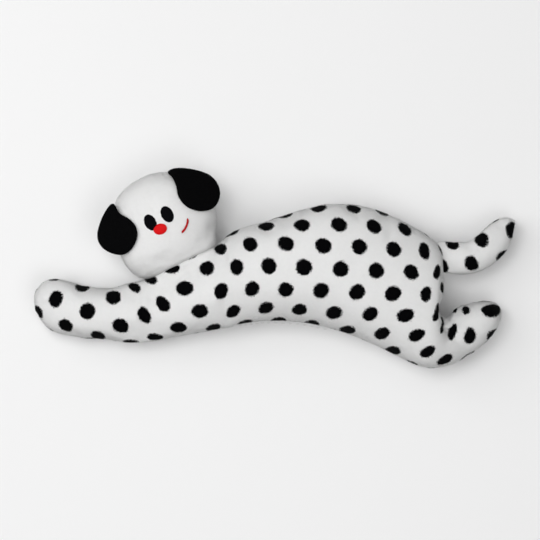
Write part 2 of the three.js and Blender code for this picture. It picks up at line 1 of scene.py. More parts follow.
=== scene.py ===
"""A long plush dog lying stretched out on a pale floor, sewn, stuffed and stitched by hand.

Sizes are in millimetres in the pattern tables and in metres everywhere else.
"""

import sys
import json
import logging
import math
from dataclasses import dataclass, field
from enum import Enum

import bmesh
import bpy
import numpy as np
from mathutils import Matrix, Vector
from mathutils.bvhtree import BVHTree
from mathutils.kdtree import KDTree

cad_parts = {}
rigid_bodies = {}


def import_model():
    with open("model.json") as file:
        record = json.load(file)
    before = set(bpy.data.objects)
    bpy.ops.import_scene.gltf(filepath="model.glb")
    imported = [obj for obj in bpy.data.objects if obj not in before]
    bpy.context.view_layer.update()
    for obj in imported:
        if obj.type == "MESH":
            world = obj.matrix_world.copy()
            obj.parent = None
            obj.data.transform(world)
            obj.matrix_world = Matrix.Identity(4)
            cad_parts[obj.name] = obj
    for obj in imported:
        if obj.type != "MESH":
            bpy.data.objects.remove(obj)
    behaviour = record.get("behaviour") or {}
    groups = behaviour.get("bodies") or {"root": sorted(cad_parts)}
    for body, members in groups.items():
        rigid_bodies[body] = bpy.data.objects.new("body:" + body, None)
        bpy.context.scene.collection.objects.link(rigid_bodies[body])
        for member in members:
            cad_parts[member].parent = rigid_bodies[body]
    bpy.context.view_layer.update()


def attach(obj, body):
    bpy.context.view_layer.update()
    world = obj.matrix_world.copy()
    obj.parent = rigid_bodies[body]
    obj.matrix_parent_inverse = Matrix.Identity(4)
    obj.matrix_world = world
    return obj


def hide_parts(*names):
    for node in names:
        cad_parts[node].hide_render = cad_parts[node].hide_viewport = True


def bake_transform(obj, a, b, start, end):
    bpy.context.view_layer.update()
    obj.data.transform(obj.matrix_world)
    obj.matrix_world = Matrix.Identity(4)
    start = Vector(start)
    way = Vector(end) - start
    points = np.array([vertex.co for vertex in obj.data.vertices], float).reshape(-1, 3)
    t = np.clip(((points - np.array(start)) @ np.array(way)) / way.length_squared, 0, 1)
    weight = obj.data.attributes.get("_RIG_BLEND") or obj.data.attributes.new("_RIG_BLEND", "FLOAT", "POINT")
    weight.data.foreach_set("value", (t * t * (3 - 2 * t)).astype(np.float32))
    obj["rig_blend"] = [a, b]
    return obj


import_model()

LOG = logging.getLogger("plush_dog")
MM = 0.001
SEED = 11
TINY = 1e-9  # keeps a division from dividing by nothing
WELD = 1e-6  # vertices closer than this are one
SEAM_ALLOWANCE = 0.0028  # cloth turned in along a seam
SEAM_GAP = 0.0006  # half of the air between two panels at their seam
SEAM_DEPTH, SEAM_WIDTH = 0.0013, 0.0030  # how the thread draws the cloth in
SIM_FRAMES = 20  # length of the cloth simulation
NECK_HOLD = 0.014  # cloth nearer than this to the neck's edge stays put
STUFFING_DEPTH, STUFFING_LUMPS = 0.0075, 0.0012  # how far the stuffing stays inside the cloth
UNDERSIDE_PRINT = (0.31, 0.17, 0.0)  # how the lower panel's print lies against the upper one's
EAR_AIR = 0.0014  # between an ear and the face
THREAD_SINK = 0.0012  # how far a thread's ends dive into the cloth
THREAD_PITCH = 0.5  # between the threads of the embroidery, in millimetres
FIBRE_TANGLE = 0.08  # how much the fibres' shading directions differ
EAR_SHARES = (0.0, 0.12, 0.25, 0.38, 0.5, 0.62, 0.73, 0.83, 0.9, 0.95, 0.98, 1.0)
HEAD_MIDDLE = (-0.135, 0.0565)
PICTURE_WIDTH = 0.6696  # what the camera takes in at the dog's height


class Side(Enum):
    """The two cloth panels of a stuffed pad."""

    TOP = 1
    BOTTOM = -1


# ---------------------------------------------------------------- patterns


@dataclass(frozen=True)
class Section:
    """One cut across a long stuffed pad, in millimetres.

    Attributes:
        back: The point on the upper seam.
        belly: The point on the lower seam.
        rise: Height of the crown above the seam.
        drop: Depth of the underside below the seam.
        seam: Seam height at the back and at the belly.
    """

    back: tuple[float, float]
    belly: tuple[float, float]
    rise: float
    drop: float
    seam: tuple[float, float]

    def row(self) -> list[float]:
        """The section as one row of numbers."""
        return [*self.back, *self.belly, self.rise, self.drop, *self.seam]


@dataclass(frozen=True)
class NeckRing:
    """The oval seam that joins head and torso, standing upright across the neck line."""

    centre: tuple[float, float] = (-113.5, 8.2)
    along: tuple[float, float] = (0.896, 0.444)
    out: tuple[float, float] = (-0.444, 0.896)
    middle: float = -1.6
    half: float = 48.2
    rise: float = 34.0
    drop: float = 32.0

    def place(self, along: float, out: float) -> tuple[float, float]:
        """Turns a distance along and out from the neck line into x and y."""
        return (
            self.centre[0] + self.along[0] * along + self.out[0] * out,
            self.centre[1] + self.along[1] * along + self.out[1] * out,
        )

    def seam(self, along: float) -> float:
        """Height of the side seam at a place along the neck."""
        return 38.6 + 0.11 * along

    def near(self, x: float, y: float) -> bool:
        """Whether a place lies on the neck line."""
        dx, dy = x - self.centre[0], y - self.centre[1]
        along = dx * self.along[0] + dy * self.along[1]
        return abs(along) < self.half + 6 and abs(dx * self.out[0] + dy * self.out[1]) < 9

    def lift(self, x: float, y: float) -> float:
        """Share of its full height that the neck opening has beside a point of the back seam."""
        dx, dy = x - self.centre[0], y - self.centre[1]
        along = (dx * self.along[0] + dy * self.along[1] - self.middle) / self.half
        out = dx * self.out[0] + dy * self.out[1]
        if abs(along) >= 1 or abs(out) > 9:
            return 0.0
        return (1 - along * along) ** 0.43


NECK = NeckRing()


def body_sections() -> list[Section]:
    """The sections of the one long pad from front paw to hind foot."""
    table = [
        (-299.5, -42.8, -299.5, -42.8, 0, 20),
        (-295.4, -25.4, -295.4, -57.7, 42, 21),
        (-283.6, -13.6, -282.4, -74.4, 52, 26),
        (-266.3, -12.3, -268.8, -81.8, 58, 29),
        (-236.5, -19.2, -241.5, -87.2, 61, 30.5),
        (-206.8, -22.9, -211.7, -89.9, 62, 31),
        (-182.0, -17.4, -182.0, -92.4, 63, 31.5),
        (-156.7, -12.3, -152.2, -91.1, 66, 33),
        (-132.4, -1.2, -122.5, -86.6, 71, 35.5),
        (-102.6, 13.6, -92.7, -81.2, 78, 39),
        (-70.4, 30.6, -62.9, -75.6, 86, 43),
        (-50.5, 47.0, -43.1, -70.7, 91, 45.5),
        (-15.8, 58.5, -10.8, -67.0, 97, 48.5),
        (31.3, 73.2, 31.3, -68.8, 102, 51),
        (71.0, 80.8, 71.0, -76.9, 104, 52),
        (113.2, 76.5, 105.7, -89.3, 103, 51.5),
        (155.3, 61.4, 133.0, -101.4, 100, 50),
        (190.0, 41.5, 155.3, -112.2, 96, 48),
        (206.2, 22.9, 172.7, -120.0, 92, 46),
        (208.0, -4.3, 185.1, -123.1, 88, 44),
        (208.6, -31.6, 195.0, -124.1, 82, 41),
        (214.2, -50.8, 204.9, -123.4, 74, 37),
        (223.5, -48.7, 222.3, -118.4, 67, 33.5),
        (235.9, -44.0, 239.6, -108.5, 62, 31),
        (250.8, -40.3, 257.0, -96.7, 58, 29),
        (264.4, -39.7, 270.0, -83.7, 53, 26.5),
        (275.0, -42.8, 278.1, -70.7, 44, 22),
        (281.2, -53.9, 281.2, -53.9, 0, 20),
    ]
    return [
        Section((bx, by), (lx, ly), thick / 2, seam, (seam, seam))
        for bx, by, lx, ly, thick, seam in table
    ]


def tail_sections() -> list[Section]:
    """The sections of the tail from its root inside the rump to its tip."""
    table = [
        (186.0, 14.5, 186.0, 14.5, 0, 45),
        (189.5, 27.0, 189.5, 2.5, 9.9, 45),
        (196.0, 32.5, 196.0, -3.0, 11.4, 45),
        (204.0, 34.6, 204.0, -5.6, 12.4, 45),
        (213.6, 35.0, 213.6, -6.8, 13.7, 44),
        (227.2, 34.4, 229.7, -8.4, 16.7, 42),
        (240.9, 35.6, 245.8, -6.8, 18.6, 39),
        (252.0, 42.8, 261.9, -1.6, 19.0, 36),
        (261.9, 51.5, 275.6, 8.1, 19.0, 33),
        (270.6, 58.5, 286.1, 18.6, 18.4, 30),
        (278.1, 62.6, 292.9, 29.8, 17.1, 27),
        (286.1, 64.5, 297.3, 42.2, 14.4, 25),
        (292.4, 63.2, 299.0, 51.2, 9.5, 24),
        (298.6, 59.0, 298.6, 59.0, 0, 24),
    ]
    return [
        Section((bx, by), (lx, ly), rise, rise, (seam, seam))
        for bx, by, lx, ly, rise, seam in table
    ]


def head_sections() -> list[Section]:
    """The sections of the head from its crown down to the neck ring."""
    table = [
        (115.6, -1, -1, 0, 42),
        (113.0, -21, 18, 34, 42),
        (108.0, -36, 31, 54, 42),
        (101.0, -45.5, 42, 68, 42),
        (92.0, -52, 52, 78, 42),
        (82.0, -57.5, 59.5, 85, 42),
        (70.0, -62, 64.5, 89, 42),
        (58.0, -65.6, 67.2, 90, 42),
        (45.0, -67.3, 66, 89, 42),
        (35.0, -67.7, 64, 87, 42),
        (25.0, -66.5, 59.5, 84, 41.5),
        (15.0, -63.5, 53.5, 78, 40.5),
        (8.0, -58.0, 50, 73, 40),
        (3.0, -52.5, 47.6, 69, 39),
        (0.0, NECK.middle - NECK.half, NECK.middle + NECK.half, 66, 38.6),
        (-5.0, NECK.middle - NECK.half + 5, NECK.middle + NECK.half - 5, 54, 38.6),
    ]
    made = []
    for out, left, right, thick, seam in table:
        lean = min(1.0, max(0.0, 1 - out / 25)) * 0.11
        rise, drop = thick * 0.53, min(thick * 0.485, seam)
        if out <= 0:
            rise, drop = NECK.rise + 1.2 * out, NECK.drop + 1.2 * out
        ends = (seam + lean * right, seam + lean * left)
        made.append(Section(NECK.place(right, out), NECK.place(left, out), rise, drop, ends))
    return made


# ---------------------------------------------------------------- spotted cloth


@dataclass(frozen=True)
class SpotPrint:
    """Round spots printed on cloth in staggered rows, and where each landed once it was sewn.

    Attributes:
        spots: For each spot its x and y in millimetres seen from above, its place along the row
            counted in spots, and the number of its row. Parts of a spot mark bare places.
        pitch: Distance between the spots of a row in millimetres.
        row: Distance between rows in millimetres.
    """

    spots: tuple[tuple[float, float, float, float], ...]
    pitch: float = 44.2
    row: float = 28.2

    def mark(self, form: "StuffedForm", mesh: bpy.types.Mesh) -> None:
        """Prints the cloth of a form."""
        points = read_points(mesh)
        flat = form.flat(points, read_floats(mesh, "run"))
        store(mesh, "cloth", self.carry(points, flat))

    def carry(self, points: np.ndarray, flat: np.ndarray) -> np.ndarray:
        """Counts every vertex in spots along the row and pairs of rows, smoothly between spots.

        Args:
            points: The vertices in metres.
            flat: The same vertices on the laid-out cloth, in millimetres.

        Returns:
            Rows of three numbers; a spot sits at whole numbers and at halves.
        """
        upper = np.flatnonzero(points[:, 2] > 0.034)
        tree = finder(points * (1, 1, 0), upper)
        known = np.array(self.spots)
        near = [tree.find_n((x * MM, y * MM, 0.0), 4) for x, y in known[:, :2]]
        at = np.array([flat[[i for _, i, _ in found]].mean(0) for found in near]) / 100

        def bow(a: np.ndarray, b: np.ndarray) -> np.ndarray:
            """How much one spot pulls on a place."""
            far = np.linalg.norm(a[:, None] - b[None], axis=2)
            return far * far * np.log(np.maximum(far, 1e-6))

        n = len(at)
        plane = np.column_stack([np.ones(n), at])
        system = np.zeros((n + 3, n + 3))
        system[:n, :n] = bow(at, at) + np.eye(n) * 2e-4
        system[:n, n:], system[n:, :n] = plane, plane.T
        goal = np.zeros((n + 3, 2))
        goal[:n] = np.column_stack([known[:, 2], -known[:, 3] / 2])
        found = np.linalg.solve(system, goal)
        place = flat / 100
        level = np.column_stack([np.ones(len(place)), place])
        made = bow(place, at) @ found[:n] + level @ found[n:]
        return np.column_stack([made, np.zeros(len(made))])


BODY_PRINT = SpotPrint((
    (12.1, 68.0, -1, -2), (53.5, 74.1, 0, -2), (97.3, 72.9, 1, -2), (133.9, 70.5, 2, -2),
    (-53.6, 45.2, -2.5, -1), (-10.9, 51.8, -1.5, -1), (33.7, 53.3, -0.5, -1),
    (79.2, 53.6, 0.5, -1), (121.8, 51.2, 1.5, -1), (160.5, 48.7, 2.5, -1),
    (-66.3, 23.6, -3, 0), (-29.6, 29.7, -2, 0), (14.2, 29.4, -1, 0), (59.6, 28.1, 0, 0),
    (103.6, 26.1, 1, 0), (146.6, 23.8, 2, 0), (184.8, 21.6, 3, 0),
    (-126.3, -1.1, -4.5, 1), (-84.0, 0.1, -3.5, 1), (-46.5, 1.6, -2.5, 1),
    (-7.8, 2.0, -1.5, 1), (36.3, 1.5, -0.5, 1), (80.6, -0.7, 0.5, 1), (124.8, -3.1, 1.5, 1),
    (166.7, -4.7, 2.5, 1), (199.8, -6.2, 3.5, 1),
    (-153.5, -14.5, -5, 2), (-110.5, -24.1, -4, 2), (-66.4, -28.0, -3, 2),
    (-28.4, -26.0, -2, 2), (14.0, -25.8, -1, 2), (57.8, -27.1, 0, 2), (100.9, -28.5, 1, 2),
    (145.3, -31.5, 2, 2), (185.6, -31.3, 3, 2),
    (-173.7, -22.3, -5.5, 3), (-138.5, -44.0, -4.5, 3), (-93.1, -52.9, -3.5, 3),
    (-51.2, -53.3, -2.5, 3), (-10.9, -48.9, -1.5, 3), (30.0, -50.1, -0.5, 3),
    (73.2, -54.1, 0.5, 3), (117.2, -55.8, 1.5, 3), (160.0, -57.0, 2.5, 3),
    (199.4, -54.7, 3.5, 3),
    (-238.5, -23.1, -7, 4), (-199.8, -35.7, -6, 4), (-161.0, -58.2, -5, 4),
    (-118.9, -72.6, -4, 4), (-76.1, -72.8, -3, 4), (-36.7, -66.8, -2, 4), (4.6, -63.8, -1, 4),
    (46.9, -68.6, 0, 4), (89.4, -75.7, 1, 4), (132.6, -79.6, 2, 4), (174.5, -81.3, 3, 4),
    (206.2, -69.8, 4, 4),
    (-271.3, -38.7, -7.5, 5), (-231.9, -53.0, -6.5, 5), (-190.3, -71.3, -5.5, 5),
    (-148.1, -84.9, -4.5, 5), (146.6, -101.3, 2.5, 5), (188.6, -103.3, 3.5, 5),
    (218.3, -79.0, 4.5, 5), (236.5, -51.2, 5.5, 5),
    (-295.0, -54.3, -8, 6), (-258.6, -70.6, -7, 6), (-218.9, -83.4, -6, 6),
    (-178.2, -90.3, -5, 6), (210.3, -113.0, 4, 6), (241.0, -82.6, 5, 6), (268.7, -51.0, 6, 6),
    (237.0, -44.0, 5.75, 4.62), (262.0, -41.0, 6.15, 5.35), (273.5, -82.5, 5.5, 7),
    (240.0, -107.0, 4.55, 6.8), (-276.0, -14.5, -7.95, 4.33),
))  # fmt: skip
TAIL_PRINT = SpotPrint((
    (220.0, 30.3, 0, 0), (256.6, 35.6, 1, 0), (298.5, 46.5, 2, 0), (243.4, 6.6, 0.5, 1),
    (285.0, 14.0, 1.5, 1),
))  # fmt: skip


def ease(value: np.ndarray) -> np.ndarray:
    """Smooth step from 0 to 1."""
    t = np.clip(value, 0, 1)
    return t * t * (3 - 2 * t)


def spline(a: np.ndarray, b: np.ndarray, c: np.ndarray, d: np.ndarray, t: float) -> np.ndarray:
    """Point at a share of the way from b to c on a smooth curve through four points."""
    bend = (2 * a - 5 * b + 4 * c - d) * t * t + (3 * b - a - 3 * c + d) * t**3
    return 0.5 * (2 * b + (c - a) * t + bend)


def travelled(points: np.ndarray) -> np.ndarray:
    """Distance along a line of points at each of them."""
    return np.concatenate([[0], np.cumsum(np.linalg.norm(np.diff(points, axis=0), axis=1))])


def finder(places: np.ndarray, chosen: np.ndarray) -> KDTree:
    """A tree that finds the nearest of the chosen places."""
    tree = KDTree(len(chosen))
    for i in chosen:
        tree.insert(places[i], int(i))
    tree.balance()
    return tree


# ---------------------------------------------------------------- long stuffed pads


@dataclass
class StuffedForm:
    """The closed outer form of a long stuffed pad, lofted through its sections.

    Attributes:
        name: Name of the form.
        sections: Its sections in order.
        around: Steps across one panel, from seam to seam.
        spacing: Distance between rings in millimetres.
        inset: Millimetres left at each edge for the pile and the swell of the stuffing.
        open_end: True where the last section is an open ring.
        swell: How far the stuffing may push the cloth out, in metres.
        pressure: Pressure of the stuffing in the cloth simulation.
        bloom: Spare cloth along the seams, as a share of its length.
    """

    name: str
    sections: list[Section]
    around: int = 26
    spacing: float = 6.0
    inset: float = 1.8
    open_end: bool = False
    swell: float = 0.004
    pressure: float = 4.0
    bloom: float = 0.02
    rows: np.ndarray = field(default_factory=lambda: np.zeros((0, 8)))
    marks: list[int] = field(default_factory=list)

    def fine_rows(self) -> np.ndarray:
        """Sections spaced evenly by a smooth curve through the pattern's own, with round ends."""
        rows = np.array([s.row() for s in self.sections])
        made, last, bow = [], len(rows) - 1, math.radians(68)
        for k in range(last):
            self.marks.append(len(made))
            b, c = rows[k], rows[k + 1]
            if k == 0 or (k == last - 1 and not self.open_end):
                tip, wide = (b, c) if k == 0 else (c, b)
                for step in range(4):
                    share = step / 4 if k == 0 else 1 - step / 4
                    spread = math.sin(bow * share) / math.sin(bow)
                    row = tip + (wide - tip) * (1 - math.cos(bow * share)) / (1 - math.cos(bow))
                    middle, half = (row[:2] + row[2:4]) / 2, (wide[:2] - wide[2:4]) / 2 * spread
                    row[:2], row[2:4], row[4:6] = middle + half, middle - half, wide[4:6] * spread
                    made.append(row)
                continue
            a = rows[k - 1]
            d = rows[k + 2] if k + 2 <= last else 2 * c - b
            reach = max(np.linalg.norm((c - b)[:2]), np.linalg.norm((c - b)[2:4]))
            steps = max(1, math.ceil(reach / self.spacing))
            made.extend(spline(a, b, c, d, t) for t in np.arange(steps) / steps)
        self.marks.append(len(made))
        made = np.array([*made, rows[-1]])
        half = (made[:, :2] - made[:, 2:4]) / 2
        wide = np.maximum(np.linalg.norm(half, axis=1, keepdims=True), 1e-6)
        inset = half / wide * np.minimum(self.inset, wide * 0.5)
        free = np.array([[0.0 if NECK.near(row[0], row[1]) else 1.0] for row in made])
        made[:, :2] -= inset * free
        made[:, 2:4] += inset * (free if self.open_end else 1)
        return made

    def ring(self, row: np.ndarray) -> list[Vector]:
        """Points round one section: over the top from back to belly, then back underneath.

        Args:
            row: The section's numbers.

        Returns:
            The ring's points in metres.
        """
        back, belly = Vector((row[0], row[1])), Vector((row[2], row[3]))
        middle, half = (back + belly) / 2, (back - belly) / 2
        lift = NECK.lift(row[0], row[1]) if self.name == "body" else 0.0
        points = []
        for k in range(2 * self.around + 1):
            side = 1 if k <= self.around else -1
            reach, press = (row[4], 1.0) if side > 0 else (row[5], 1.07)
            neck = NECK.rise if side > 0 else NECK.drop
            edge = min(0.97, lift * neck / max(reach, 1))
            angle = math.pi * (k if side > 0 else 2 * self.around - k) / self.around
            across = math.cos(angle)
            bulge = max(0.0, math.sin(angle)) ** 0.86
            share = (edge * float(ease((across - 0.35) / 0.65))) ** 2
            bulge = math.sqrt(share + (1 - share) * bulge * bulge)
            at = middle + half * across
            seam = row[7] + (row[6] - row[7]) * (across + 1) / 2
            z = seam + side * reach * press * bulge
            z = max(z, seam - reach, 0.0) if side < 0 else z
            points.append(Vector((at.x, at.y, z)) * MM)
        return points

    def build(self) -> bpy.types.Object:
        """Lays a grid of cloth through the sections, then lets the stuffing swell it.

        Returns:
            The form, with the ring and the side of each face stored on it.
        """
        self.rows = self.fine_rows()
        bm = lay_grid([self.ring(row) for row in self.rows])
        run, turn = bm.verts.layers.float["run"], bm.verts.layers.float["turn"]
        ring, side = bm.faces.layers.float["ring"], bm.faces.layers.float["side"]
        seam = bm.verts.layers.float["seam"]
        for face in bm.faces:
            face[ring] = sum(v[run] for v in face.verts) / 4
            face[side] = 1 if sum(v[turn] for v in face.verts) / 4 < self.around else -1
        last = len(self.rows) - 1
        for vert in bm.verts:
            if vert[turn] in (0, self.around, 2 * self.around):
                vert[seam] = 1
            lifted = self.name == "body" and vert[turn] in (0, 2 * self.around)
            if lifted and NECK.lift(vert.co.x / MM, vert.co.y / MM) > 0:
                vert[seam] = 2
            if self.open_end and vert[run] >= last - 1:
                vert[seam] = 2
        bmesh.ops.remove_doubles(bm, verts=bm.verts, dist=WELD)
        bmesh.ops.recalc_face_normals(bm, faces=bm.faces)
        form = new_object(self.name + "_form", bm)
        self.stuff(form)
        return refine(form)

    def stuff(self, form: bpy.types.Object) -> None:
        """Runs the cloth under pressure with its seams held, and keeps the result.

        Args:
            form: The lofted form.
        """
        mesh = form.data
        rest = read_points(mesh)
        held = form.vertex_groups.new(name="held")
        sewn = read_floats(mesh, "seam")
        seam = sewn > 0.5
        for i in np.flatnonzero(sewn > 1.5):
            seam |= np.linalg.norm(rest - rest[i], axis=1) < NECK_HOLD
        for i in np.flatnonzero(seam):
            held.add([int(i)], 1.0, "REPLACE")
        cloth = form.modifiers.new("stuffing", "CLOTH")
        s = cloth.settings
        s.quality, s.mass, s.vertex_group_mass, s.pin_stiffness = 6, 0.2, "held", 1.0
        s.tension_stiffness = s.compression_stiffness = 12
        s.shear_stiffness, s.bending_stiffness = 6, 0.4
        s.use_pressure, s.uniform_pressure_force = True, self.pressure
        s.shrink_min = -self.bloom
        s.effector_weights.gravity = 0.0
        cloth.collision_settings.use_collision = False
        cloth.collision_settings.use_self_collision = False
        scene = bpy.context.scene
        cloth.point_cache.frame_start, cloth.point_cache.frame_end = 1, SIM_FRAMES
        for step in range(1, SIM_FRAMES + 1):
            scene.frame_set(step)
        graph = bpy.context.evaluated_depsgraph_get()
        shaped = form.evaluated_get(graph).to_mesh()
        moved = read_points(shaped)
        form.evaluated_get(graph).to_mesh_clear()
        form.modifiers.remove(cloth)
        scene.frame_set(1)
        shift = moved - rest
        reach = np.linalg.norm(shift, axis=1, keepdims=True)
        held_back = self.swell * np.tanh(reach / self.swell) / np.maximum(reach, TINY)
        rest = rest + shift * np.where(reach > TINY, held_back, 0)
        form.vertex_groups.clear()
        rest[:, 2] = np.maximum(rest[:, 2], 0.0)
        write_points(mesh, rest)

    def flat(self, points: np.ndarray, run: np.ndarray) -> np.ndarray:
        """Where points of a panel lie when its cloth is laid out flat.

        Args:
            points: Places of the points, in metres.
            run: Ring number of each point.

        Returns:
            Flat positions in millimetres.
        """
        k = np.arange(len(self.rows))
        row = np.stack([np.interp(run, k, self.rows[:, c]) for c in range(6)], 1)
        middle, half = (row[:, :2] + row[:, 2:4]) / 2, (row[:, :2] - row[:, 2:4]) / 2
        width = np.maximum(np.linalg.norm(half, axis=1), 1e-3)
        direction = half / width[:, None]
        across = ((points[:, :2] / MM - middle) * direction).sum(1) / width
        across = np.clip(across, -0.999, 0.999)
        round_ = np.minimum(1.2, row[:, 4] / width) ** 1.2
        arc = width * (across + (np.arcsin(across) - across) * round_)
        return middle + direction * arc[:, None]


def read_rows(source: object, key: str) -> np.ndarray:
    """One row of three numbers for each member of a Blender collection."""
    out = np.zeros(len(source) * 3, np.float32)
    source.foreach_get(key, out)
    return out.reshape(-1, 3).astype(float)


def read_points(mesh: bpy.types.Mesh) -> np.ndarray:
    """All vertex places of a mesh, one row each."""
    return read_rows(mesh.vertices, "co")


def write_points(mesh: bpy.types.Mesh, points: np.ndarray) -> None:
    """Writes vertex places back to a mesh."""
    mesh.vertices.foreach_set("co", points.astype(np.float32).ravel())
    mesh.update()


def read_floats(mesh: bpy.types.Mesh, name: str) -> np.ndarray:
    """A per-vertex number stored on a mesh."""
    out = np.zeros(len(mesh.vertices), np.float32)
    mesh.attributes[name].data.foreach_get("value", out)
    return out.astype(float)


def read_vectors(mesh: bpy.types.Mesh, name: str) -> np.ndarray:
    """A per-vertex vector stored on a mesh."""
    return read_rows(mesh.attributes[name].data, "vector")


def store(mesh: bpy.types.Mesh, name: str, values: np.ndarray) -> None:
    """Stores a number or a vector on each vertex.

    Args:
        mesh: The mesh.
        name: Name of the attribute.
        values: One value or one row for each vertex.
    """
    vector = values.ndim == 2
    if name in mesh.attributes:
        mesh.attributes.remove(mesh.attributes[name])
    layer = mesh.attributes.new(name, "FLOAT_VECTOR" if vector else "FLOAT", "POINT")
    layer.data.foreach_set("vector" if vector else "value", values.astype(np.float32).ravel())


def vertex_normals(mesh: bpy.types.Mesh) -> np.ndarray:
    """All vertex normals of a mesh, one row each."""
    return read_rows(mesh.vertices, "normal")


def finish_mesh(obj: bpy.types.Object) -> bpy.types.Object:
    """Replaces an object's mesh by the one its modifiers make, and drops the modifiers."""
    graph = bpy.context.evaluated_depsgraph_get()
    made = bpy.data.meshes.new_from_object(
        obj.evaluated_get(graph), preserve_all_data_layers=True, depsgraph=graph
    )
    obj.modifiers.clear()
    obj.data = made
    return obj


def refine(obj: bpy.types.Object) -> bpy.types.Object:
    """Rounds a mesh by one step of subdivision."""
    smooth = obj.modifiers.new("round", "SUBSURF")
    smooth.levels = smooth.render_levels = 1
    smooth.boundary_smooth = "ALL"
    return finish_mesh(obj)


def show(name: str, data: bpy.types.ID) -> bpy.types.Object:
    """Puts a mesh, curve, lamp or camera into the scene as an object."""
    obj = bpy.data.objects.new(name, data)
    bpy.context.scene.collection.objects.link(obj)
    return obj


def new_object(name: str, bm: bmesh.types.BMesh, smooth: bool = True) -> bpy.types.Object:
    """Turns a bmesh into an object in the scene."""
    mesh = bpy.data.meshes.new(name)
    for face in bm.faces:
        face.smooth = smooth
    bm.to_mesh(mesh)
    bm.free()
    return show(name, mesh)


def lay_grid(places: list[list[Vector]]) -> bmesh.types.BMesh:
    """Weaves a grid and puts each crossing in its place.

    Args:
        places: The place of each crossing, row by row.

    Returns:
        The grid, with each crossing's row and column stored on it.
    """
    bm = bmesh.new()
    for name in ("run", "turn", "seam"):
        bm.verts.layers.float.new(name)
    for name in ("ring", "side"):
        bm.faces.layers.float.new(name)
    run, turn = bm.verts.layers.float["run"], bm.verts.layers.float["turn"]
    rows, columns = len(places), len(places[0])
    made = bmesh.ops.create_grid(bm, x_segments=rows - 1, y_segments=columns - 1, size=1.0)
    for vert in made["verts"]:
        k = round((vert.co.x + 1) / 2 * (rows - 1))
        i = round((vert.co.y + 1) / 2 * (columns - 1))
        vert.co = places[k][i]
        vert[run], vert[turn] = k, i
    return bm


# ---------------------------------------------------------------- finishes


class Shade:
    """A small builder for node materials."""

    def __init__(self, name: str) -> None:
        """Starts a material with one Principled shader."""
        self.material = bpy.data.materials.new(name)
        self.material.use_nodes = True
        self.tree = self.material.node_tree
        self.shader = self.tree.nodes["Principled BSDF"]

    def node(self, kind: str, **values: object) -> bpy.types.Node:
        """Adds a node and sets its properties or input values.

        Args:
            kind: Blender's name of the node.
            values: Properties, or inputs by name with spaces as underscores.

        Returns:
            The new node.
        """
        made = self.tree.nodes.new(kind)
        for key, value in values.items():
            if hasattr(made, key):
                setattr(made, key, value)
            else:
                made.inputs[key.replace("_", " ")].default_value = value
        return made

    def link(self, a: bpy.types.NodeSocket, b: bpy.types.NodeSocket) -> None:
        """Joins two sockets."""
        self.tree.links.new(a, b)

    def math(self, kind: str, a: object, b: object = 0.0, c: object = 0.0) -> bpy.types.NodeSocket:
        """Adds a sum of one to three numbers or sockets and returns its result."""
        made = self.node("ShaderNodeMath", operation=kind)
        for i, value in enumerate((a, b, c)):
            if isinstance(value, bpy.types.NodeSocket):
                self.link(value, made.inputs[i])
            else:
                made.inputs[i].default_value = value
        return made.outputs[0]

    def set(self, **values: object) -> None:
        """Sets constant values on the shader's own sockets."""
        for key, value in values.items():
            self.shader.inputs[key.replace("_", " ")].default_value = value

    def noise(self, scale: float, detail: float = 3.0, vector: object = None) -> bpy.types.Node:
        """Adds a noise on object coordinates."""
        made = self.node("ShaderNodeTexNoise", Scale=scale, Detail=detail)
        if vector is None:
            vector = self.node("ShaderNodeTexCoord").outputs["Object"]
        self.link(vector, made.inputs["Vector"])
        return made

    def mottle(
        self, noise: tuple[float, float], dark: tuple[float, ...], light: tuple[float, ...]
    ) -> bpy.types.NodeSocket:
        """Adds a colour that wanders between two along a noise.

        Args:
            noise: Scale and detail of the noise.
            dark: The first colour.
            light: The second colour.

        Returns:
            The socket that gives the colour.
        """
        tone = self.node("ShaderNodeMix", data_type="RGBA")
        self.link(self.noise(*noise).outputs["Fac"], tone.inputs["Factor"])
        for key, colour in (("A", dark), ("B", light)):
            tone.inputs[key].default_value = (*colour, 1)
        return tone.outputs["Result"]

    def paint(self, colour: bpy.types.NodeSocket) -> None:
        """Colours the shader."""
        self.link(colour, self.shader.inputs["Base Color"])

    def bump(self, height: bpy.types.NodeSocket, strength: float, distance: float) -> None:
        """Adds bump from a height."""
        made = self.node("ShaderNodeBump", Strength=strength, Distance=distance)
        self.link(height, made.inputs["Height"])
        self.link(made.outputs["Normal"], self.shader.inputs["Normal"])


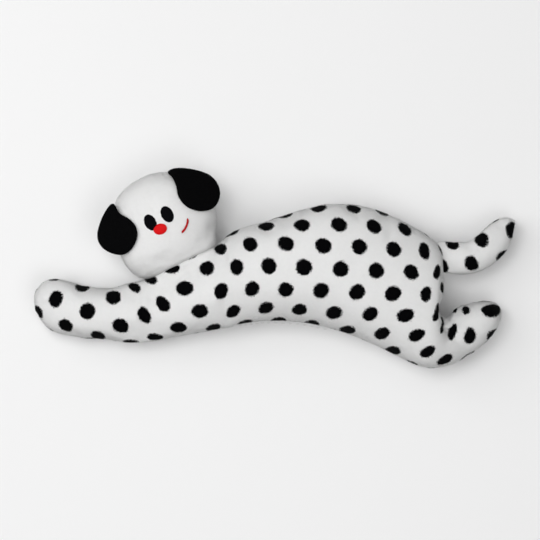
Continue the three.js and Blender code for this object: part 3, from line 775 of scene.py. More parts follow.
@dataclass(frozen=True)
class PlushCloth:
    """Short white pile, printed with round black spots where it has them."""

    name: str
    spotted: bool = True
    white: tuple[float, float, float] = (0.9, 0.9, 0.896)
    black: tuple[float, float, float] = (0.0015, 0.0015, 0.002)
    spot: float = 9.9
    fray: float = 1.5

    def make(self) -> bpy.types.Material:
        """Builds the material.

        Returns:
            The finished material.
        """
        s = Shade(self.name)
        s.set(Roughness=0.95, Sheen_Weight=0.03, Sheen_Roughness=0.5, Specular_IOR_Level=0.04)
        light = [min(1, c * 1.03) for c in self.white]
        colour = s.mottle((260.0, 4.0), [c * 0.97 for c in self.white], light)
        if self.spotted:
            mix = s.node("ShaderNodeMix", data_type="RGBA")
            s.link(self.mask(s), mix.inputs["Factor"])
            s.link(colour, mix.inputs["A"])
            mix.inputs["B"].default_value = (*self.black, 1)
            colour = mix.outputs["Result"]
        s.paint(colour)
        s.bump(s.noise(700.0, 3.0).outputs["Fac"], 0.12, 0.0008)
        return s.material

    def mask(self, s: Shade) -> bpy.types.NodeSocket:
        """The spots, from the cloth's own repeat.

        Args:
            s: The material being built.

        Returns:
            A socket that is 1 inside a spot.
        """
        cloth = s.node("ShaderNodeAttribute", attribute_name="cloth")
        parts = s.node("ShaderNodeSeparateXYZ")
        s.link(cloth.outputs["Vector"], parts.inputs[0])
        nearest = None
        for shift in (0.0, 0.5):
            squares = []
            for axis, length in ((0, BODY_PRINT.pitch), (1, 2 * BODY_PRINT.row)):
                moved = s.math("ADD", parts.outputs[axis], 0.5 + shift)
                whole = s.math("FLOOR", moved)
                off = s.math("SUBTRACT", s.math("SUBTRACT", moved, whole), 0.5)
                off = s.math("MULTIPLY", off, length)
                squares.append(s.math("MULTIPLY", off, off))
            far = s.math("SQRT", s.math("ADD", *squares))
            nearest = far if nearest is None else s.math("MINIMUM", nearest, far)
        edge = s.math("SUBTRACT", s.noise(120.0, 2.0).outputs["Fac"], 0.5)
        loose = s.math("SUBTRACT", s.noise(620.0, 2.0).outputs["Fac"], 0.5)
        far = s.math("MULTIPLY_ADD", edge, self.fray * 1.5, nearest)
        far = s.math("MULTIPLY_ADD", loose, self.fray * 1.6, far)
        far = s.math("MULTIPLY_ADD", parts.outputs[2], self.fray, far)
        spot = s.node("ShaderNodeMapRange", interpolation_type="SMOOTHSTEP")
        s.link(far, spot.inputs["Value"])
        limits = {"From Min": -0.5, "From Max": 0.5}
        for key, value in limits.items():
            spot.inputs[key].default_value = self.spot + value
        spot.inputs["To Min"].default_value, spot.inputs["To Max"].default_value = 1.0, 0.0
        return spot.outputs["Result"]


@dataclass(frozen=True)
class Velvet:
    """Black velvety pile with a faint sheen along its folds."""

    name: str = "black_velvet"

    def make(self) -> bpy.types.Material:
        """Builds the material."""
        s = Shade(self.name)
        s.set(Roughness=0.95, Sheen_Weight=0.015, Sheen_Roughness=0.35, Specular_IOR_Level=0.04)
        s.paint(s.mottle((420.0, 4.0), (0.0012, 0.0012, 0.0014), (0.0035, 0.0035, 0.004)))
        s.bump(s.noise(1500.0, 2.0).outputs["Fac"], 0.3, 0.0005)
        return s.material


@dataclass(frozen=True)
class Floss:
    """Embroidery floss: glossy twisted thread."""

    name: str
    colour: tuple[float, float, float]
    shine: float = 0.5
    gloss: float = 0.15

    def make(self) -> bpy.types.Material:
        """Builds the material."""
        s = Shade(self.name)
        s.set(Roughness=self.shine, Specular_IOR_Level=self.gloss)
        light = [min(1, c * 1.15) for c in self.colour]
        s.paint(s.mottle((900.0, 2.0), [c * 0.8 for c in self.colour], light))
        wave = s.node("ShaderNodeTexWave", Scale=1400.0, Distortion=2.0)
        s.link(s.node("ShaderNodeTexCoord").outputs["Object"], wave.inputs["Vector"])
        s.bump(wave.outputs["Fac"], 0.25, 0.0002)
        return s.material


@dataclass(frozen=True)
class FibreFill:
    """Loose white polyester stuffing."""

    name: str = "fibre_fill"

    def make(self) -> bpy.types.Material:
        """Builds the material."""
        s = Shade(self.name)
        s.set(Roughness=1.0, Sheen_Weight=0.2, Sheen_Roughness=0.6)
        s.paint(s.mottle((90.0, 8.0), (0.78, 0.78, 0.76), (0.93, 0.93, 0.92)))
        s.bump(s.noise(300.0, 8.0).outputs["Fac"], 0.6, 0.003)
        return s.material


# ---------------------------------------------------------------- pile


@dataclass(frozen=True)
class Pile:
    """The short fibres that stand on a cloth.

    Attributes:
        length: Length of a fibre in metres.
        density: Fibres to a square metre.
        width: Width of a fibre at its root in metres.
        lean: Most that a fibre leans, in radians.
    """

    length: float = 0.0021
    density: float = 2.3e6
    width: float = 0.00075
    lean: float = 0.3

    def blade(self) -> bpy.types.Object:
        """One fibre, a narrow leaf leaning on its root so that its face is turned outward."""
        bm = bmesh.new()
        made = bmesh.ops.create_circle(bm, cap_ends=True, segments=3, radius=1.0)["verts"]
        places = (
            (-self.width / 2, 0, 0),
            (self.width / 2, 0, 0),
            (0, self.length * 0.84, self.length * 0.54),
        )
        for vert, at in zip(made, places):
            vert.co = at
        return new_object("fibre", bm, smooth=False)

    def group(self, blade: bpy.types.Object, seed: int) -> bpy.types.NodeTree:
        """Node group that plants fibres over a mesh.

        Args:
            blade: The single fibre.
            seed: Seed for the places.

        Returns:
            The node group.
        """
        tree = bpy.data.node_groups.new("pile", "GeometryNodeTree")
        for way in ("INPUT", "OUTPUT"):
            tree.interface.new_socket("Geometry", in_out=way, socket_type="NodeSocketGeometry")

        def add(kind: str, values: dict | None = None, **settings: object) -> bpy.types.Node:
            """Adds a node, sets it up, and joins or fills its inputs."""
            node = tree.nodes.new(kind)
            for key, value in settings.items():
                setattr(node, key, value)
            for key, value in (values or {}).items():
                if isinstance(value, bpy.types.NodeSocket):
                    tree.links.new(value, node.inputs[key])
                else:
                    node.inputs[key].default_value = value
            return node

        source, result = add("NodeGroupInput"), add("NodeGroupOutput")
        skin = source.outputs[0]
        bare = add("GeometryNodeInputNamedAttribute", {"Name": "furred"}, data_type="FLOAT")
        furred = bare.outputs["Attribute"]
        thick = add("ShaderNodeMath", {0: furred, 1: self.density}, operation="MULTIPLY")
        scatter = add(
            "GeometryNodeDistributePointsOnFaces",
            {"Seed": seed, "Density": thick.outputs[0], "Mesh": skin},
        )
        place = add("GeometryNodeInputPosition").outputs[0]
        roots = {"Name": "root", "Geometry": scatter.outputs["Points"], "Value": place}
        vector = {"data_type": "FLOAT_VECTOR"}
        keep = add("GeometryNodeStoreNamedAttribute", roots, **vector, domain="POINT")
        most = (self.lean, self.lean, math.tau)
        least = (-self.lean, -self.lean, 0.0)
        angles = {"Min": least, "Max": most, "Seed": seed + 1}
        tilt = add("FunctionNodeRandomValue", angles, **vector)
        euler = add("FunctionNodeEulerToRotation", {0: tilt.outputs["Value"]})
        turns = {0: scatter.outputs["Rotation"], 1: euler.outputs[0]}
        turned = add("FunctionNodeRotateRotation", turns, rotation_space="LOCAL")
        size = add("FunctionNodeRandomValue", data_type="FLOAT")
        ends = [i for i in size.inputs if i.type == "VALUE" and i.enabled]
        ends[0].default_value, ends[1].default_value = 0.7, 1.2
        size.inputs["Seed"].default_value = seed + 2
        info = add("GeometryNodeObjectInfo", {"Object": blade})
        plant = add(
            "GeometryNodeInstanceOnPoints",
            {
                "Points": keep.outputs["Geometry"],
                "Instance": info.outputs["Geometry"],
                "Rotation": turned.outputs[0],
                "Scale": [o for o in size.outputs if o.enabled][0],
            },
        )
        real = add("GeometryNodeRealizeInstances", {0: plant.outputs[0]})
        join = add("GeometryNodeJoinGeometry", {0: real.outputs[0]})
        tree.links.new(skin, join.inputs[0])
        tree.links.new(join.outputs[0], result.inputs[0])
        return tree

    def plant(self, obj: bpy.types.Object, seed: int) -> None:
        """Grows the fibres on an object and gives them the cloth's own shading direction.

        Args:
            obj: The cloth panel, with its laid-out position, normals and bare patches stored.
            seed: Seed for this panel.
        """
        mesh = obj.data
        skin = len(mesh.vertices)
        store(mesh, "root", read_points(mesh))
        if "furred" not in mesh.attributes:
            store(mesh, "furred", np.ones(skin))
        blade = self.blade()
        grow = obj.modifiers.new("pile", "NODES")
        grow.node_group = self.group(blade, seed)
        finish_mesh(obj)
        bpy.data.objects.remove(blade)
        mesh = obj.data
        lay, root = read_vectors(mesh, "lay"), read_vectors(mesh, "root")
        wild = np.random.default_rng(seed).normal(0, FIBRE_TANGLE, (len(lay), 3))
        fibre = np.linalg.norm(read_points(mesh) - root, axis=1) > 1e-7
        lay = lay + wild * fibre[:, None]
        lay /= np.maximum(np.linalg.norm(lay, axis=1, keepdims=True), TINY)
        if "cloth" in mesh.attributes:
            cloth = read_vectors(mesh, "cloth")
            key = np.floor(root * 2e4).astype(np.int64)
            mixed = (key[:, 0] * 73856093) ^ (key[:, 1] * 19349663) ^ (key[:, 2] * 83492791)
            cloth[:, 2] = (mixed % 1009) / 1009 - 0.5
            store(mesh, "cloth", cloth)
        mesh.polygons.foreach_set("use_smooth", [True] * len(mesh.polygons))
        mesh.normals_split_custom_set_from_vertices(lay.tolist())
        lay_out_texture(mesh, root)
        strip(mesh)


def strip(mesh: bpy.types.Mesh) -> None:
    """Takes the working attributes off a finished mesh."""
    for name in ("lay", "root", "furred", "run", "turn", "seam", "ring", "side"):
        if name in mesh.attributes:
            mesh.attributes.remove(mesh.attributes[name])


def lay_out_texture(mesh: bpy.types.Mesh, root: np.ndarray) -> None:
    """Gives a panel a texture layout seen from above, with each fibre at its root's place.

    Args:
        mesh: The panel.
        root: Place of each vertex's root.
    """
    low, high = root[:, :2].min(0), root[:, :2].max(0)
    flat = (root[:, :2] - low) / max((high - low).max(), 1e-6) * 0.98 + 0.01
    corner = np.zeros(len(mesh.loops), np.int32)
    mesh.loops.foreach_get("vertex_index", corner)
    for layer in list(mesh.uv_layers):
        mesh.uv_layers.remove(layer)
    layer = mesh.uv_layers.new(name="OFBake")
    layer.data.foreach_set("uv", flat[corner].astype(np.float32).ravel())


# ---------------------------------------------------------------- cloth panels


@dataclass
class Panel:
    """One cloth panel cut from a stuffed form.

    Attributes:
        name: Name of the piece.
        side: Which panel of the pad it is.
        first: Section where it begins.
        last: Section where it ends.
    """

    name: str
    side: Side
    first: int
    last: int

    def cut(self, form: StuffedForm, whole: bpy.types.Object) -> bpy.types.Object:
        """Cuts the panel out of the form, turns its seam allowance in and places its print.

        Args:
            form: The form's measures.
            whole: The form's mesh.

        Returns:
            The panel as a new object.
        """
        bm = bmesh.new()
        bm.from_mesh(whole.data)
        ring, side = bm.faces.layers.float["ring"], bm.faces.layers.float["side"]
        first, last = form.marks[self.first], form.marks[self.last]
        drop = [
            f
            for f in bm.faces
            if (f[side] > 0) != (self.side is Side.TOP) or not first <= f[ring] <= last
        ]
        bmesh.ops.delete(bm, geom=drop, context="FACES")
        seam = bm.verts.layers.float["seam"]
        rim = [e for e in bm.edges if e.is_boundary and all(0.7 < v[seam] < 1.6 for v in e.verts)]
        lay = bm.verts.layers.float_vector["lay"]
        turned = bmesh.ops.extrude_edge_only(bm, edges=rim)["geom"]
        for vert in (g for g in turned if isinstance(g, bmesh.types.BMVert)):
            vert.co -= vert[lay] * SEAM_ALLOWANCE
            vert.co.z += SEAM_GAP * self.side.value
        cloth = bm.verts.layers.float_vector.get("cloth")
        if cloth and self.side is Side.BOTTOM:
            for vert in bm.verts:
                vert[cloth] += Vector(UNDERSIDE_PRINT)
        return new_object(self.name, bm)


def draw_in(whole: bpy.types.Object, creases: list["Crease"]) -> None:
    """Draws the cloth in along its seams and creases, and stores the way that it faces.

    Args:
        whole: The form's mesh.
        creases: Creases pressed into the cloth.
    """
    mesh = whole.data
    points, normals = read_points(mesh), vertex_normals(mesh)
    tree = finder(points, np.flatnonzero(read_floats(mesh, "seam") > 0.9))
    far = np.array([tree.find(p)[2] for p in points])
    depth = SEAM_DEPTH * np.exp(-((far / SEAM_WIDTH) ** 2))
    for crease in creases:
        depth += crease.depth_at(points)
    write_points(mesh, points - normals * depth[:, None])
    store(mesh, "lay", vertex_normals(mesh))


@dataclass(frozen=True)
class Crease:
    """A fold where stuffed cloth is squeezed together.

    Attributes:
        start: Its deep end, in millimetres.
        end: Its shallow end, in millimetres.
        depth: Depth at the deep end, in metres.
        width: Half of its width, in metres.
    """

    start: tuple[float, float]
    end: tuple[float, float]
    depth: float
    width: float

    def depth_at(self, points: np.ndarray) -> np.ndarray:
        """How deep the crease presses the cloth at each point.

        Args:
            points: Places in metres.

        Returns:
            Depths in metres.
        """
        a, b = np.array(self.start) * MM, np.array(self.end) * MM
        reach = np.linalg.norm(b - a)
        along = (points[:, :2] - a) @ (b - a) / reach**2
        near = a + np.clip(along, 0, 1)[:, None] * (b - a)
        far = np.linalg.norm(points[:, :2] - near, axis=1)
        deep = self.depth * (1 - 0.75 * np.clip(along, 0, 1))
        return deep * np.exp(-((far / self.width) ** 2))


def dress(obj: bpy.types.Object, material: bpy.types.Material, node: str) -> None:
    """Gives a piece its material and hides the CAD node that it stands for."""
    obj.data.materials.clear()
    obj.data.materials.append(material)
    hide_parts(node)
    LOG.info("%s: %d faces", obj.name, len(obj.data.polygons))


def stuffing(name: str, whole: bpy.types.Object, first: float, last: float) -> bpy.types.Object:
    """A lumpy mass of fibre a little inside the cloth.

    Args:
        name: Name of the piece.
        whole: The form's mesh.
        first: First ring.
        last: Last ring.

    Returns:
        The stuffing as a closed mesh.
    """
    bm = bmesh.new()
    bm.from_mesh(whole.data)
    ring = bm.faces.layers.float["ring"]
    gone = [f for f in bm.faces if not first + 0.6 <= f[ring] < last - 0.6]
    bmesh.ops.delete(bm, geom=gone, context="FACES")
    lay = bm.verts.layers.float_vector["lay"]
    for vert in bm.verts:
        x, y, z = vert.co
        lump = math.sin(x * 190) * math.sin(y * 170 + 1) * math.sin(z * 210)
        vert.co -= vert[lay] * (STUFFING_DEPTH + STUFFING_LUMPS * lump)
    bmesh.ops.remove_doubles(bm, verts=bm.verts, dist=0.0004)
    for _ in range(2):
        holes = [e for e in bm.edges if e.is_boundary]
        if holes:
            bmesh.ops.holes_fill(bm, edges=holes, sides=0)
    bmesh.ops.triangulate(bm, faces=[f for f in bm.faces if len(f.verts) > 4])
    bmesh.ops.recalc_face_normals(bm, faces=bm.faces)
    obj = new_object(name, bm)
    strip(obj.data)
    return obj


# ---------------------------------------------------------------- sub-assemblies


def made_by(maker: "PlushCloth | Velvet | Floss | FibreFill") -> bpy.types.Material:
    """A field that holds the material of a finish, made when the field is first filled."""
    return field(default_factory=maker.make)


@dataclass
class Finishes:
    """All the finishes of the dog."""

    spotted: bpy.types.Material = made_by(PlushCloth("spotted_plush"))
    plain: bpy.types.Material = made_by(PlushCloth("plain_plush", spotted=False))
    velvet: bpy.types.Material = made_by(Velvet())
    fill: bpy.types.Material = made_by(FibreFill())
    black: bpy.types.Material = made_by(Floss("black_thread", (0.003, 0.003, 0.004), 0.85, 0.04))
    red: bpy.types.Material = made_by(Floss("red_thread", (0.75, 0.006, 0.008)))
    smile: bpy.types.Material = made_by(Floss("smile_thread", (0.5, 0.01, 0.014)))
    white: bpy.types.Material = made_by(Floss("white_thread", (0.8, 0.8, 0.79), 0.6))


@dataclass(frozen=True)
class Fold:
    """The stretch over which cloth bends from one body of the dog to the next.

    Attributes:
        fixed: The body that it starts on.
        moving: The body that it ends on.
        start: Where the bend starts, in metres.
        end: Where the bend ends, in metres.
    """

    fixed: str
    moving: str
    start: tuple[float, float, float]
    end: tuple[float, float, float]

    def bend(self, obj: bpy.types.Object) -> None:
        """Makes a piece bend here."""
        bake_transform(obj, self.fixed, self.moving, self.start, self.end)


SHOULDER_FOLD = Fold("torso", "foreleg", (-0.158, -0.013, 0.03), (-0.212, -0.0388, 0.03))
KNEE_FOLD = Fold("torso", "hind_leg", (0.2038, -0.0781, 0.03), (0.229, -0.0818, 0.03))
NECK_FOLD = Fold("torso", "head", (-0.1135, 0.0082, 0.0389), (-0.1277, 0.0369, 0.0389))


@dataclass
class Part:
    """One stretch of a stuffed pad that moves on its own: two panels and their stuffing.

    Attributes:
        name: Body of the record.
        first: Section where it begins.
        last: Section where it ends.
        top: What its upper panel is called.
        bottom: What its lower panel is called.
        fill: How tight it is stuffed; not used.
        fold: Where it bends from its neighbour, if it does.
    """

    name: str
    first: int
    last: int
    top: str = "top"
    bottom: str = "bottom"
    fill: float = 0.9
    fold: Fold | None = None

    def build(
        self,
        form: StuffedForm,
        whole: bpy.types.Object,
        cloth: bpy.types.Material,
        filling: bpy.types.Material,
        pile: Pile,
    ) -> None:
        """Cuts the panels, plants their pile and lets them move with their body.

        Args:
            form: The pad's measures.
            whole: The pad's mesh.
            cloth: Finish of the panels.
            filling: Finish of the stuffing.
            pile: The cloth's pile.
        """
        for side, which in ((Side.TOP, self.top), (Side.BOTTOM, self.bottom)):
            node = f"{self.name}_{which}_panel"
            panel = Panel(node + "_cloth", side, self.first, self.last).cut(form, whole)
            pile.plant(panel, SEED + len(bpy.data.objects))
            dress(panel, cloth, node)
            self.hold(panel)
        first, last = form.marks[self.first], form.marks[self.last]
        mass = stuffing(self.name + "_fill", whole, first, last)
        dress(mass, filling, self.name + "_stuffing")
        self.hold(mass)

    def hold(self, obj: bpy.types.Object) -> None:
        """Lets a padded piece move with its body, or bend towards it."""
        if self.fold:
            self.fold.bend(obj)
        else:
            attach(obj, self.name)


@dataclass
class Body:
    """The long pad that is foreleg, torso and hind leg in one."""

    pile: Pile = Pile()

    def build(self, finishes: Finishes) -> bpy.types.Object:
        """Builds the pad.

        Args:
            finishes: The dog's finishes.

        Returns:
            Its whole outer form, kept for laying stitches on.
        """
        form = StuffedForm("body", body_sections(), swell=0.0035)
        whole = form.build()
        draw_in(
            whole,
            [
                Crease((211, -46), (217, -86), 0.010, 0.0065),
                Crease((206, -56), (192, -62), 0.0022, 0.004),
                Crease((214, -72), (203, -77), 0.0018, 0.0035),
                Crease((216, -52), (229, -56), 0.0018, 0.004),
            ],
        )
        BODY_PRINT.mark(form, whole.data)
        for part in (
            Part("foreleg", 0, 8, fold=SHOULDER_FOLD),
            Part("torso", 8, 20),
            Part("hind_leg", 20, 27, fill=0.85, fold=KNEE_FOLD),
        ):
            part.build(form, whole, finishes.spotted, finishes.fill, self.pile)
        return whole


@dataclass
class Tail:
    """The upturned tail, a small pad sewn in at the rump."""

    pile: Pile = Pile()

    def build(self, finishes: Finishes) -> None:
        """Builds the tail."""
        form = StuffedForm("tail", tail_sections(), around=14, spacing=4.5, swell=0.0015)
        whole = form.build()
        draw_in(whole, [])
        TAIL_PRINT.mark(form, whole.data)
        part = Part("tail", 0, 13, fill=0.85)
        part.build(form, whole, finishes.spotted, finishes.fill, self.pile)
        bpy.data.objects.remove(whole)


@dataclass
class Head:
    """The head, a round pad of plain plush with its neck sewn to the torso."""

    pile: Pile = Pile(length=0.0018)

    def build(self, finishes: Finishes, bare: list["Patch"]) -> bpy.types.Object:
        """Builds the head.

        Args:
            finishes: The dog's finishes.
            bare: Embroidered patches where no pile stands.

        Returns:
            Its whole outer form, kept for laying the face on.
        """
        form = StuffedForm("head", head_sections(), open_end=True)
        whole = form.build()
        draw_in(whole, [])
        points = read_points(whole.data)
        furred = np.ones(len(points))
        for patch in bare:
            furred *= np.where((patch.share(points[:, :2]) < 0.93) & (points[:, 2] > 0.05), 0, 1)
        store(whole.data, "furred", furred)
        part = Part("head", 0, 15, "face", "back", 0.95, NECK_FOLD)
        part.build(form, whole, finishes.plain, finishes.fill, self.pile)
        return whole


@dataclass
class Surface:
    """Heights of a form's upper surface."""

    tree: BVHTree

    def at(self, x: float, y: float, fallback: float = 0.0) -> float:
        """Height above a place, in metres."""
        hit = self.tree.ray_cast(Vector((x, y, 0.3)), Vector((0, 0, -1)))
        return hit[0].z if hit[0] else fallback


@dataclass(frozen=True)
class Patch:
    """An oval of satin stitch.

    Attributes:
        name: Name of the piece.
        centre: Its middle, in millimetres.
        long: Its longer measure in millimetres.
        short: Its shorter measure in millimetres.
        turn: Direction of the longer measure.
        rise: How far the padding under the stitches stands up, in metres.
    """

    name: str
    centre: tuple[float, float]
    long: float
    short: float
    turn: tuple[float, float]
    rise: float = 0.0011

    def axes(self) -> tuple[np.ndarray, np.ndarray]:
        """Unit directions along and across the oval."""
        u = np.array(self.turn) / math.hypot(*self.turn)
        return u, np.array([-u[1], u[0]])

    def share(self, points: np.ndarray) -> np.ndarray:
        """Distance of places from the middle, as a share of the way to the edge."""
        u, v = self.axes()
        rel = points / MM - np.array(self.centre)
        return np.hypot(rel @ u / (self.long / 2), rel @ v / (self.short / 2))

    def threads(self, surface: Surface, lift: float) -> list[list[Vector]]:
        """The paths of the threads, laid side by side over their padding.

        Args:
            surface: The cloth under them.
            lift: Height of the padding's rim above the cloth, in metres.

        Returns:
            One list of points for each thread.
        """
        u, v = self.axes()
        a, b = self.long / 2, self.short / 2
        count = int(2 * a / THREAD_PITCH)
        rng = np.random.default_rng(SEED)
        paths = []
        for k in range(count):
            s = -1 + 2 * (k + 0.5) / count
            reach = b * math.sqrt(1 - s * s) + rng.uniform(-0.25, 0.15)
            path = []
            for t in np.linspace(-1, 1, 9):
                at = np.array(self.centre) + u * a * s + v * reach * t
                x, y = at * MM
                dome = max(0.0, 1 - (t * reach / b) ** 2 - s * s)
                z = surface.at(x, y, 0.085) + lift + self.rise * math.sqrt(dome)
                if abs(t) > 0.99:
                    z -= THREAD_SINK
                path.append(Vector((x, y, z)))
            paths.append(path)
        return paths


def thread_mesh(name: str, paths: list[list[Vector]], radius: float) -> bpy.types.Object:
    """Lays round threads along paths.

    Args:
        name: Name of the piece.
        paths: Points of each thread, in metres.
        radius: Radius of the thread in metres.

    Returns:
        The threads as one mesh.
    """
    curve = bpy.data.curves.new(name, "CURVE")
    curve.dimensions = "3D"
    curve.bevel_depth = radius
    curve.bevel_resolution = 1
    curve.use_fill_caps = True
    for path in paths:
        spline = curve.splines.new("POLY")
        spline.points.add(len(path) - 1)
        spline.points.foreach_set("co", [c for p in path for c in (*p, 1.0)])
        spline.use_smooth = True
    line = show(name, curve)
    graph = bpy.context.evaluated_depsgraph_get()
    mesh = bpy.data.meshes.new_from_object(line.evaluated_get(graph), depsgraph=graph)
    bpy.data.objects.remove(line)
    return show(name, mesh)


EYE_LEFT = Patch("eye_left", (-153.2, 56.6), 20.8, 14.4, (0.48, -0.87))
EYE_RIGHT = Patch("eye_right", (-132.5, 66.7), 20.8, 14.8, (0.48, -0.87))
NOSE = Patch("nose", (-141.0, 48.4), 16.8, 13.0, (0.96, 0.28), rise=0.0016)
SMILE = [(-107.2, 61.2), (-107.3, 57.2), (-108.6, 52.6), (-111.0, 48.0), (-114.6, 44.0)]


@dataclass
class Face:
    """Eyes, nose and smile, embroidered on the head."""

    def build(self, surface: Surface, finishes: Finishes) -> None:
        """Builds the embroidery.

        Args:
            surface: The head's cloth.
            finishes: The dog's finishes.
        """
        for patch, cloth, slot, lift in (
            (EYE_LEFT, finishes.black, "black_thread", 0.0010),
            (EYE_RIGHT, finishes.black, "black_thread", 0.0010),
            (NOSE, finishes.red, "red_thread", 0.0019),
        ):
            made = thread_mesh(patch.name + "_stitches", patch.threads(surface, lift), 0.00036)
            dress(made, cloth, patch.name)
            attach(made, "head")
        smile = thread_mesh("smile_stitches", self.smile(surface), 0.00032)
        dress(smile, finishes.smile, "smile")
        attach(smile, "head")

    def smile(self, surface: Surface) -> list[list[Vector]]:
        """Short slanting stitches along the line of the smile.

        Args:
            surface: The head's cloth.

        Returns:
            One list of points for each stitch.
        """
        line = np.array(SMILE)
        steps = travelled(line)
        paths = []
        for at in np.arange(0, steps[-1], THREAD_PITCH):
            x, y = (np.interp(at, steps, line[:, c]) for c in (0, 1))
            ahead = [np.interp(at + 1, steps, line[:, c]) for c in (0, 1)]
            dx, dy = ahead[0] - x, ahead[1] - y
            reach = math.hypot(dx, dy) or 1
            end = min(1.0, 0.55 + min(at, steps[-1] - at) / 4)
            side = np.array([-dy, dx]) / reach * 1.15 * end + np.array([dx, dy]) / reach * 0.5
            path = []
            for t in np.linspace(-1, 1, 5):
                px, py = (x + side[0] * t) * MM, (y + side[1] * t) * MM
                z = surface.at(px, py, 0.08) + 0.0019 + 0.0006 * (1 - t * t)
                path.append(Vector((px, py, z)))
            paths.append(path)
        return paths


@dataclass(frozen=True)
class Ear:
    """A flat velvet ear of two layers, hanging from its stitched root.

    Attributes:
        name: Body of the record.
        outline: The cut edge in millimetres, in order.
        layer: Thickness of one layer in metres.
    """

    name: str
    outline: tuple[tuple[float, float], ...]
    layer: float = 0.0022

    def edge(self, count: int) -> np.ndarray:
        """The cut edge as evenly spaced points.

        Args:
            count: Number of points.

        Returns:
            Points in millimetres.
        """
        p = np.array(self.outline)
        n = len(p)
        fine = []
        for k in range(n):
            corners = [p[(k + j) % n] for j in (-1, 0, 1, 2)]
            fine.extend(spline(*corners, t) for t in np.arange(12) / 12)
        fine.append(fine[0])
        fine = np.array(fine)
        steps = travelled(fine)
        at = np.arange(count) / count * steps[-1]
        return np.stack([np.interp(at, steps, fine[:, c]) for c in (0, 1)], 1)

    def build(self, surface: Surface, finishes: Finishes) -> None:
        """Builds both layers.

        Args:
            surface: The head's cloth.
            finishes: The dog's finishes.
        """
        edge = self.edge(72)
        centre = edge.mean(0)
        middle = Vector(HEAD_MIDDLE)
        for layer, low in (("lining", EAR_AIR), ("front", EAR_AIR + self.layer)):
            high = low + self.layer
            places = []
            for up in (True, False):
                for share in EAR_SHARES if up else reversed(EAR_SHARES):
                    row = []
                    for k in range(len(edge) + 1):
                        x, y = (centre + (edge[k % len(edge)] - centre) * share) * MM
                        z = self.drape(x, y, middle, surface)
                        z += high if up else low
                        if up and layer == "front":
                            z += 0.0016 * (1 - share**6) - 0.0008 * share**24
                        row.append(Vector((x, y, z)))
                    places.append(row)
            bm = lay_grid(places)
            bmesh.ops.remove_doubles(bm, verts=bm.verts, dist=WELD)
            bmesh.ops.recalc_face_normals(bm, faces=bm.faces)
            obj = refine(new_object(f"{self.name}_{layer}_cloth", bm))
            facing = vertex_normals(obj.data)
            store(obj.data, "lay", facing)
            open_air = facing[:, 2] > -0.2 if layer == "front" else np.abs(facing[:, 2]) < 0.9
            store(obj.data, "furred", np.where(open_air, 1.0, 0.0))
            Pile(length=0.0009, density=3.5e6, width=0.0005).plant(obj, SEED)
            dress(obj, finishes.velvet, f"{self.name}_{layer}")
            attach(obj, self.name)

    def drape(self, x: float, y: float, middle: Vector, surface: Surface) -> float:
        """Height of the ear's underside: on the face, or curving down beyond the head's edge.

        Args:
            x: Place in metres.
            y: Place in metres.
            middle: Middle of the head.
            surface: The head's cloth.

        Returns:
            The height in metres.
        """
        out = Vector((x, y)) - middle
        reach = out.length
        heights = [0.0, surface.at(x, y, -1.0)]
        for back in (0.004, 0.008, 0.012, 0.016, 0.022, 0.028):
            p = middle + out * max(0.0, (reach - back) / reach)
            heights.append(surface.at(p.x, p.y, -1.0) - back * 0.62)
        return max(heights)


EAR_LEFT = Ear(
    "ear_left",
    (
        (-199.5, 80.2), (-207.4, 73.6), (-214.9, 59.6), (-219.8, 41.5), (-215.0, 27.7),
        (-202.5, 19.2), (-187.5, 17.2), (-176.0, 25.0), (-169.7, 39.5), (-171.5, 51.8),
        (-180.0, 61.0), (-192.0, 68.4),
    ),
)  # fmt: skip
EAR_RIGHT = Ear(
    "ear_right",
    (
        (-132.4, 119.2), (-126.0, 112.0), (-121.4, 101.0), (-117.8, 87.2), (-108.0, 76.0),
        (-92.0, 70.8), (-76.0, 74.8), (-68.2, 88.2), (-70.2, 103.6), (-81.4, 116.0),
        (-101.7, 122.6), (-121.7, 124.0),
    ),
)  # fmt: skip


@dataclass
class HandStitches:
    """The hand sewing that closes the belly and joins the neck."""

    def build(self, finishes: Finishes) -> None:
        """Builds both runs of stitches."""
        for name, node, paths, radius in (
            ("neck_stitches", "neck_seam_thread", self.neck(), 0.0003),
            ("closing_stitches", "closing_thread", self.belly(), 0.0005),
        ):
            run = thread_mesh(name, paths, radius)
            dress(run, finishes.white, node)
            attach(run, "torso")

    def neck(self) -> list[list[Vector]]:
        """Ladder stitches round the neck ring."""
        paths = []
        for k in range(90):
            a = math.tau * k / 90
            along = NECK.middle + NECK.half * 0.975 * math.cos(a)
            reach = NECK.rise if math.sin(a) > 0 else NECK.drop
            lift = abs(math.sin(a)) ** 0.86 * reach * 0.975
            z = NECK.seam(along) + math.copysign(lift, math.sin(a))
            path = []
            for t in (-1, -0.5, 0, 0.5, 1):
                x, y = NECK.place(along + 0.5 * t, 1.1 * t)
                path.append(Vector((x, y, max(1.0, z) - 2.2 - 0.6 * t * t)) * MM)
            paths.append(path)
        return paths

    def belly(self) -> list[list[Vector]]:
        """Slanting stitches along the lower seam."""
        low = [(s.belly, s.seam[1]) for s in body_sections()[11:15]]
        paths = []
        for k in range(14):
            f = k / 14 * (len(low) - 1)
            i, t = int(f), f - int(f)
            (ax, ay), az = low[i]
            (bx, by), bz = low[i + 1]
            x, y, z = ax + (bx - ax) * t, ay + (by - ay) * t, az + (bz - az) * t
            slant = [
                (x + 3.2 * (s - 0.5), y - 0.2 * (1 - (2 * s - 1) ** 2), z - 1.6 + 3.2 * s)
                for s in (0, 0.25, 0.5, 0.75, 1)
            ]
            paths.append([Vector(at) * MM for at in slant])
        return paths


# ---------------------------------------------------------------- the set


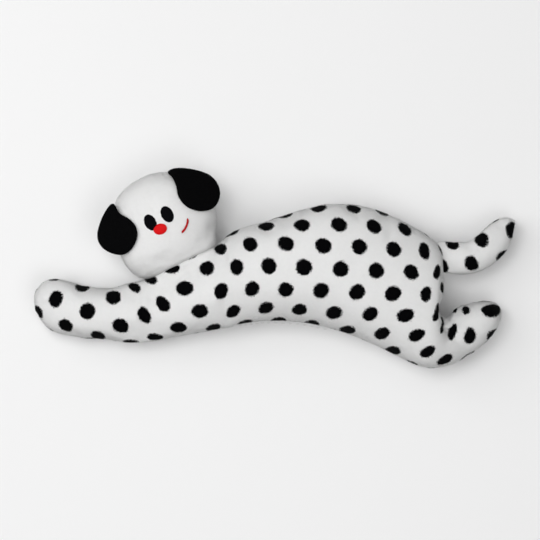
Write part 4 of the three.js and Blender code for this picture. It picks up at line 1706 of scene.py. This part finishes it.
@dataclass(frozen=True)
class Studio:
    """A pale floor, soft light from the upper left and the camera overhead."""

    def floor(self) -> None:
        """Lays the floor."""
        bm = bmesh.new()
        bmesh.ops.create_grid(bm, x_segments=2, y_segments=2, size=6.0)
        floor = new_object("floor", bm)
        s = Shade("pale_floor")
        s.set(Roughness=0.85, Specular_IOR_Level=0.1)
        s.paint(s.mottle((1.3, 3.0), (0.9, 0.9, 0.9), (0.92, 0.92, 0.92)))
        floor.data.materials.append(s.material)

    def lamp(self, name: str, at: tuple[float, ...], size: float, power: float) -> None:
        """Hangs one soft lamp facing the dog.

        Args:
            name: Name of the lamp.
            at: Its place in metres.
            size: Its width in metres.
            power: Its power in watts.
        """
        data = bpy.data.lights.new(name, "AREA")
        data.shape, data.size, data.energy = "DISK", size, power
        lamp = show(name, data)
        lamp.location = at
        aim = Vector((0, 0, 0.03)) - Vector(at)
        lamp.rotation_euler = aim.to_track_quat("-Z", "Y").to_euler()

    def build(self) -> None:
        """Builds the whole set."""
        self.floor()
        self.lamp("key", (-1.8, 0.6, 2.1), 2.8, 27)
        self.lamp("overhead", (-0.7, 0.5, 3.4), 1.6, 34)
        self.lamp("fill", (0.8, -1.0, 3.2), 2.4, 24)
        world = bpy.data.worlds.new("soft_room")
        world.use_nodes = True
        world.node_tree.nodes["Background"].inputs["Color"].default_value = (1, 1, 1, 1)
        world.node_tree.nodes["Background"].inputs["Strength"].default_value = 0.34
        bpy.context.scene.world = world
        bpy.context.scene.view_settings.view_transform = "Standard"
        data = bpy.data.cameras.new("overhead")
        data.lens, data.sensor_width = 300, 36
        data.dof.use_dof = False
        data.clip_end = 20
        camera = show("overhead", data)
        camera.location = (-0.0059, -0.0019, 0.05 + PICTURE_WIDTH * data.lens / data.sensor_width)
        bpy.context.scene.camera = camera


def main() -> None:
    """Builds the dog and its set."""
    logging.basicConfig(level=logging.INFO, format="%(name)s %(message)s", stream=sys.stdout)
    finishes = Finishes()
    body = Body().build(finishes)
    Tail().build(finishes)
    head = Head().build(finishes, [EYE_LEFT, EYE_RIGHT, NOSE])
    surface = Surface(BVHTree.FromObject(head, bpy.context.evaluated_depsgraph_get()))
    Face().build(surface, finishes)
    for ear in (EAR_LEFT, EAR_RIGHT):
        ear.build(surface, finishes)
    HandStitches().build(finishes)
    for form in (body, head):
        bpy.data.objects.remove(form)
    Studio().build()


if __name__ == "__main__":
    main()
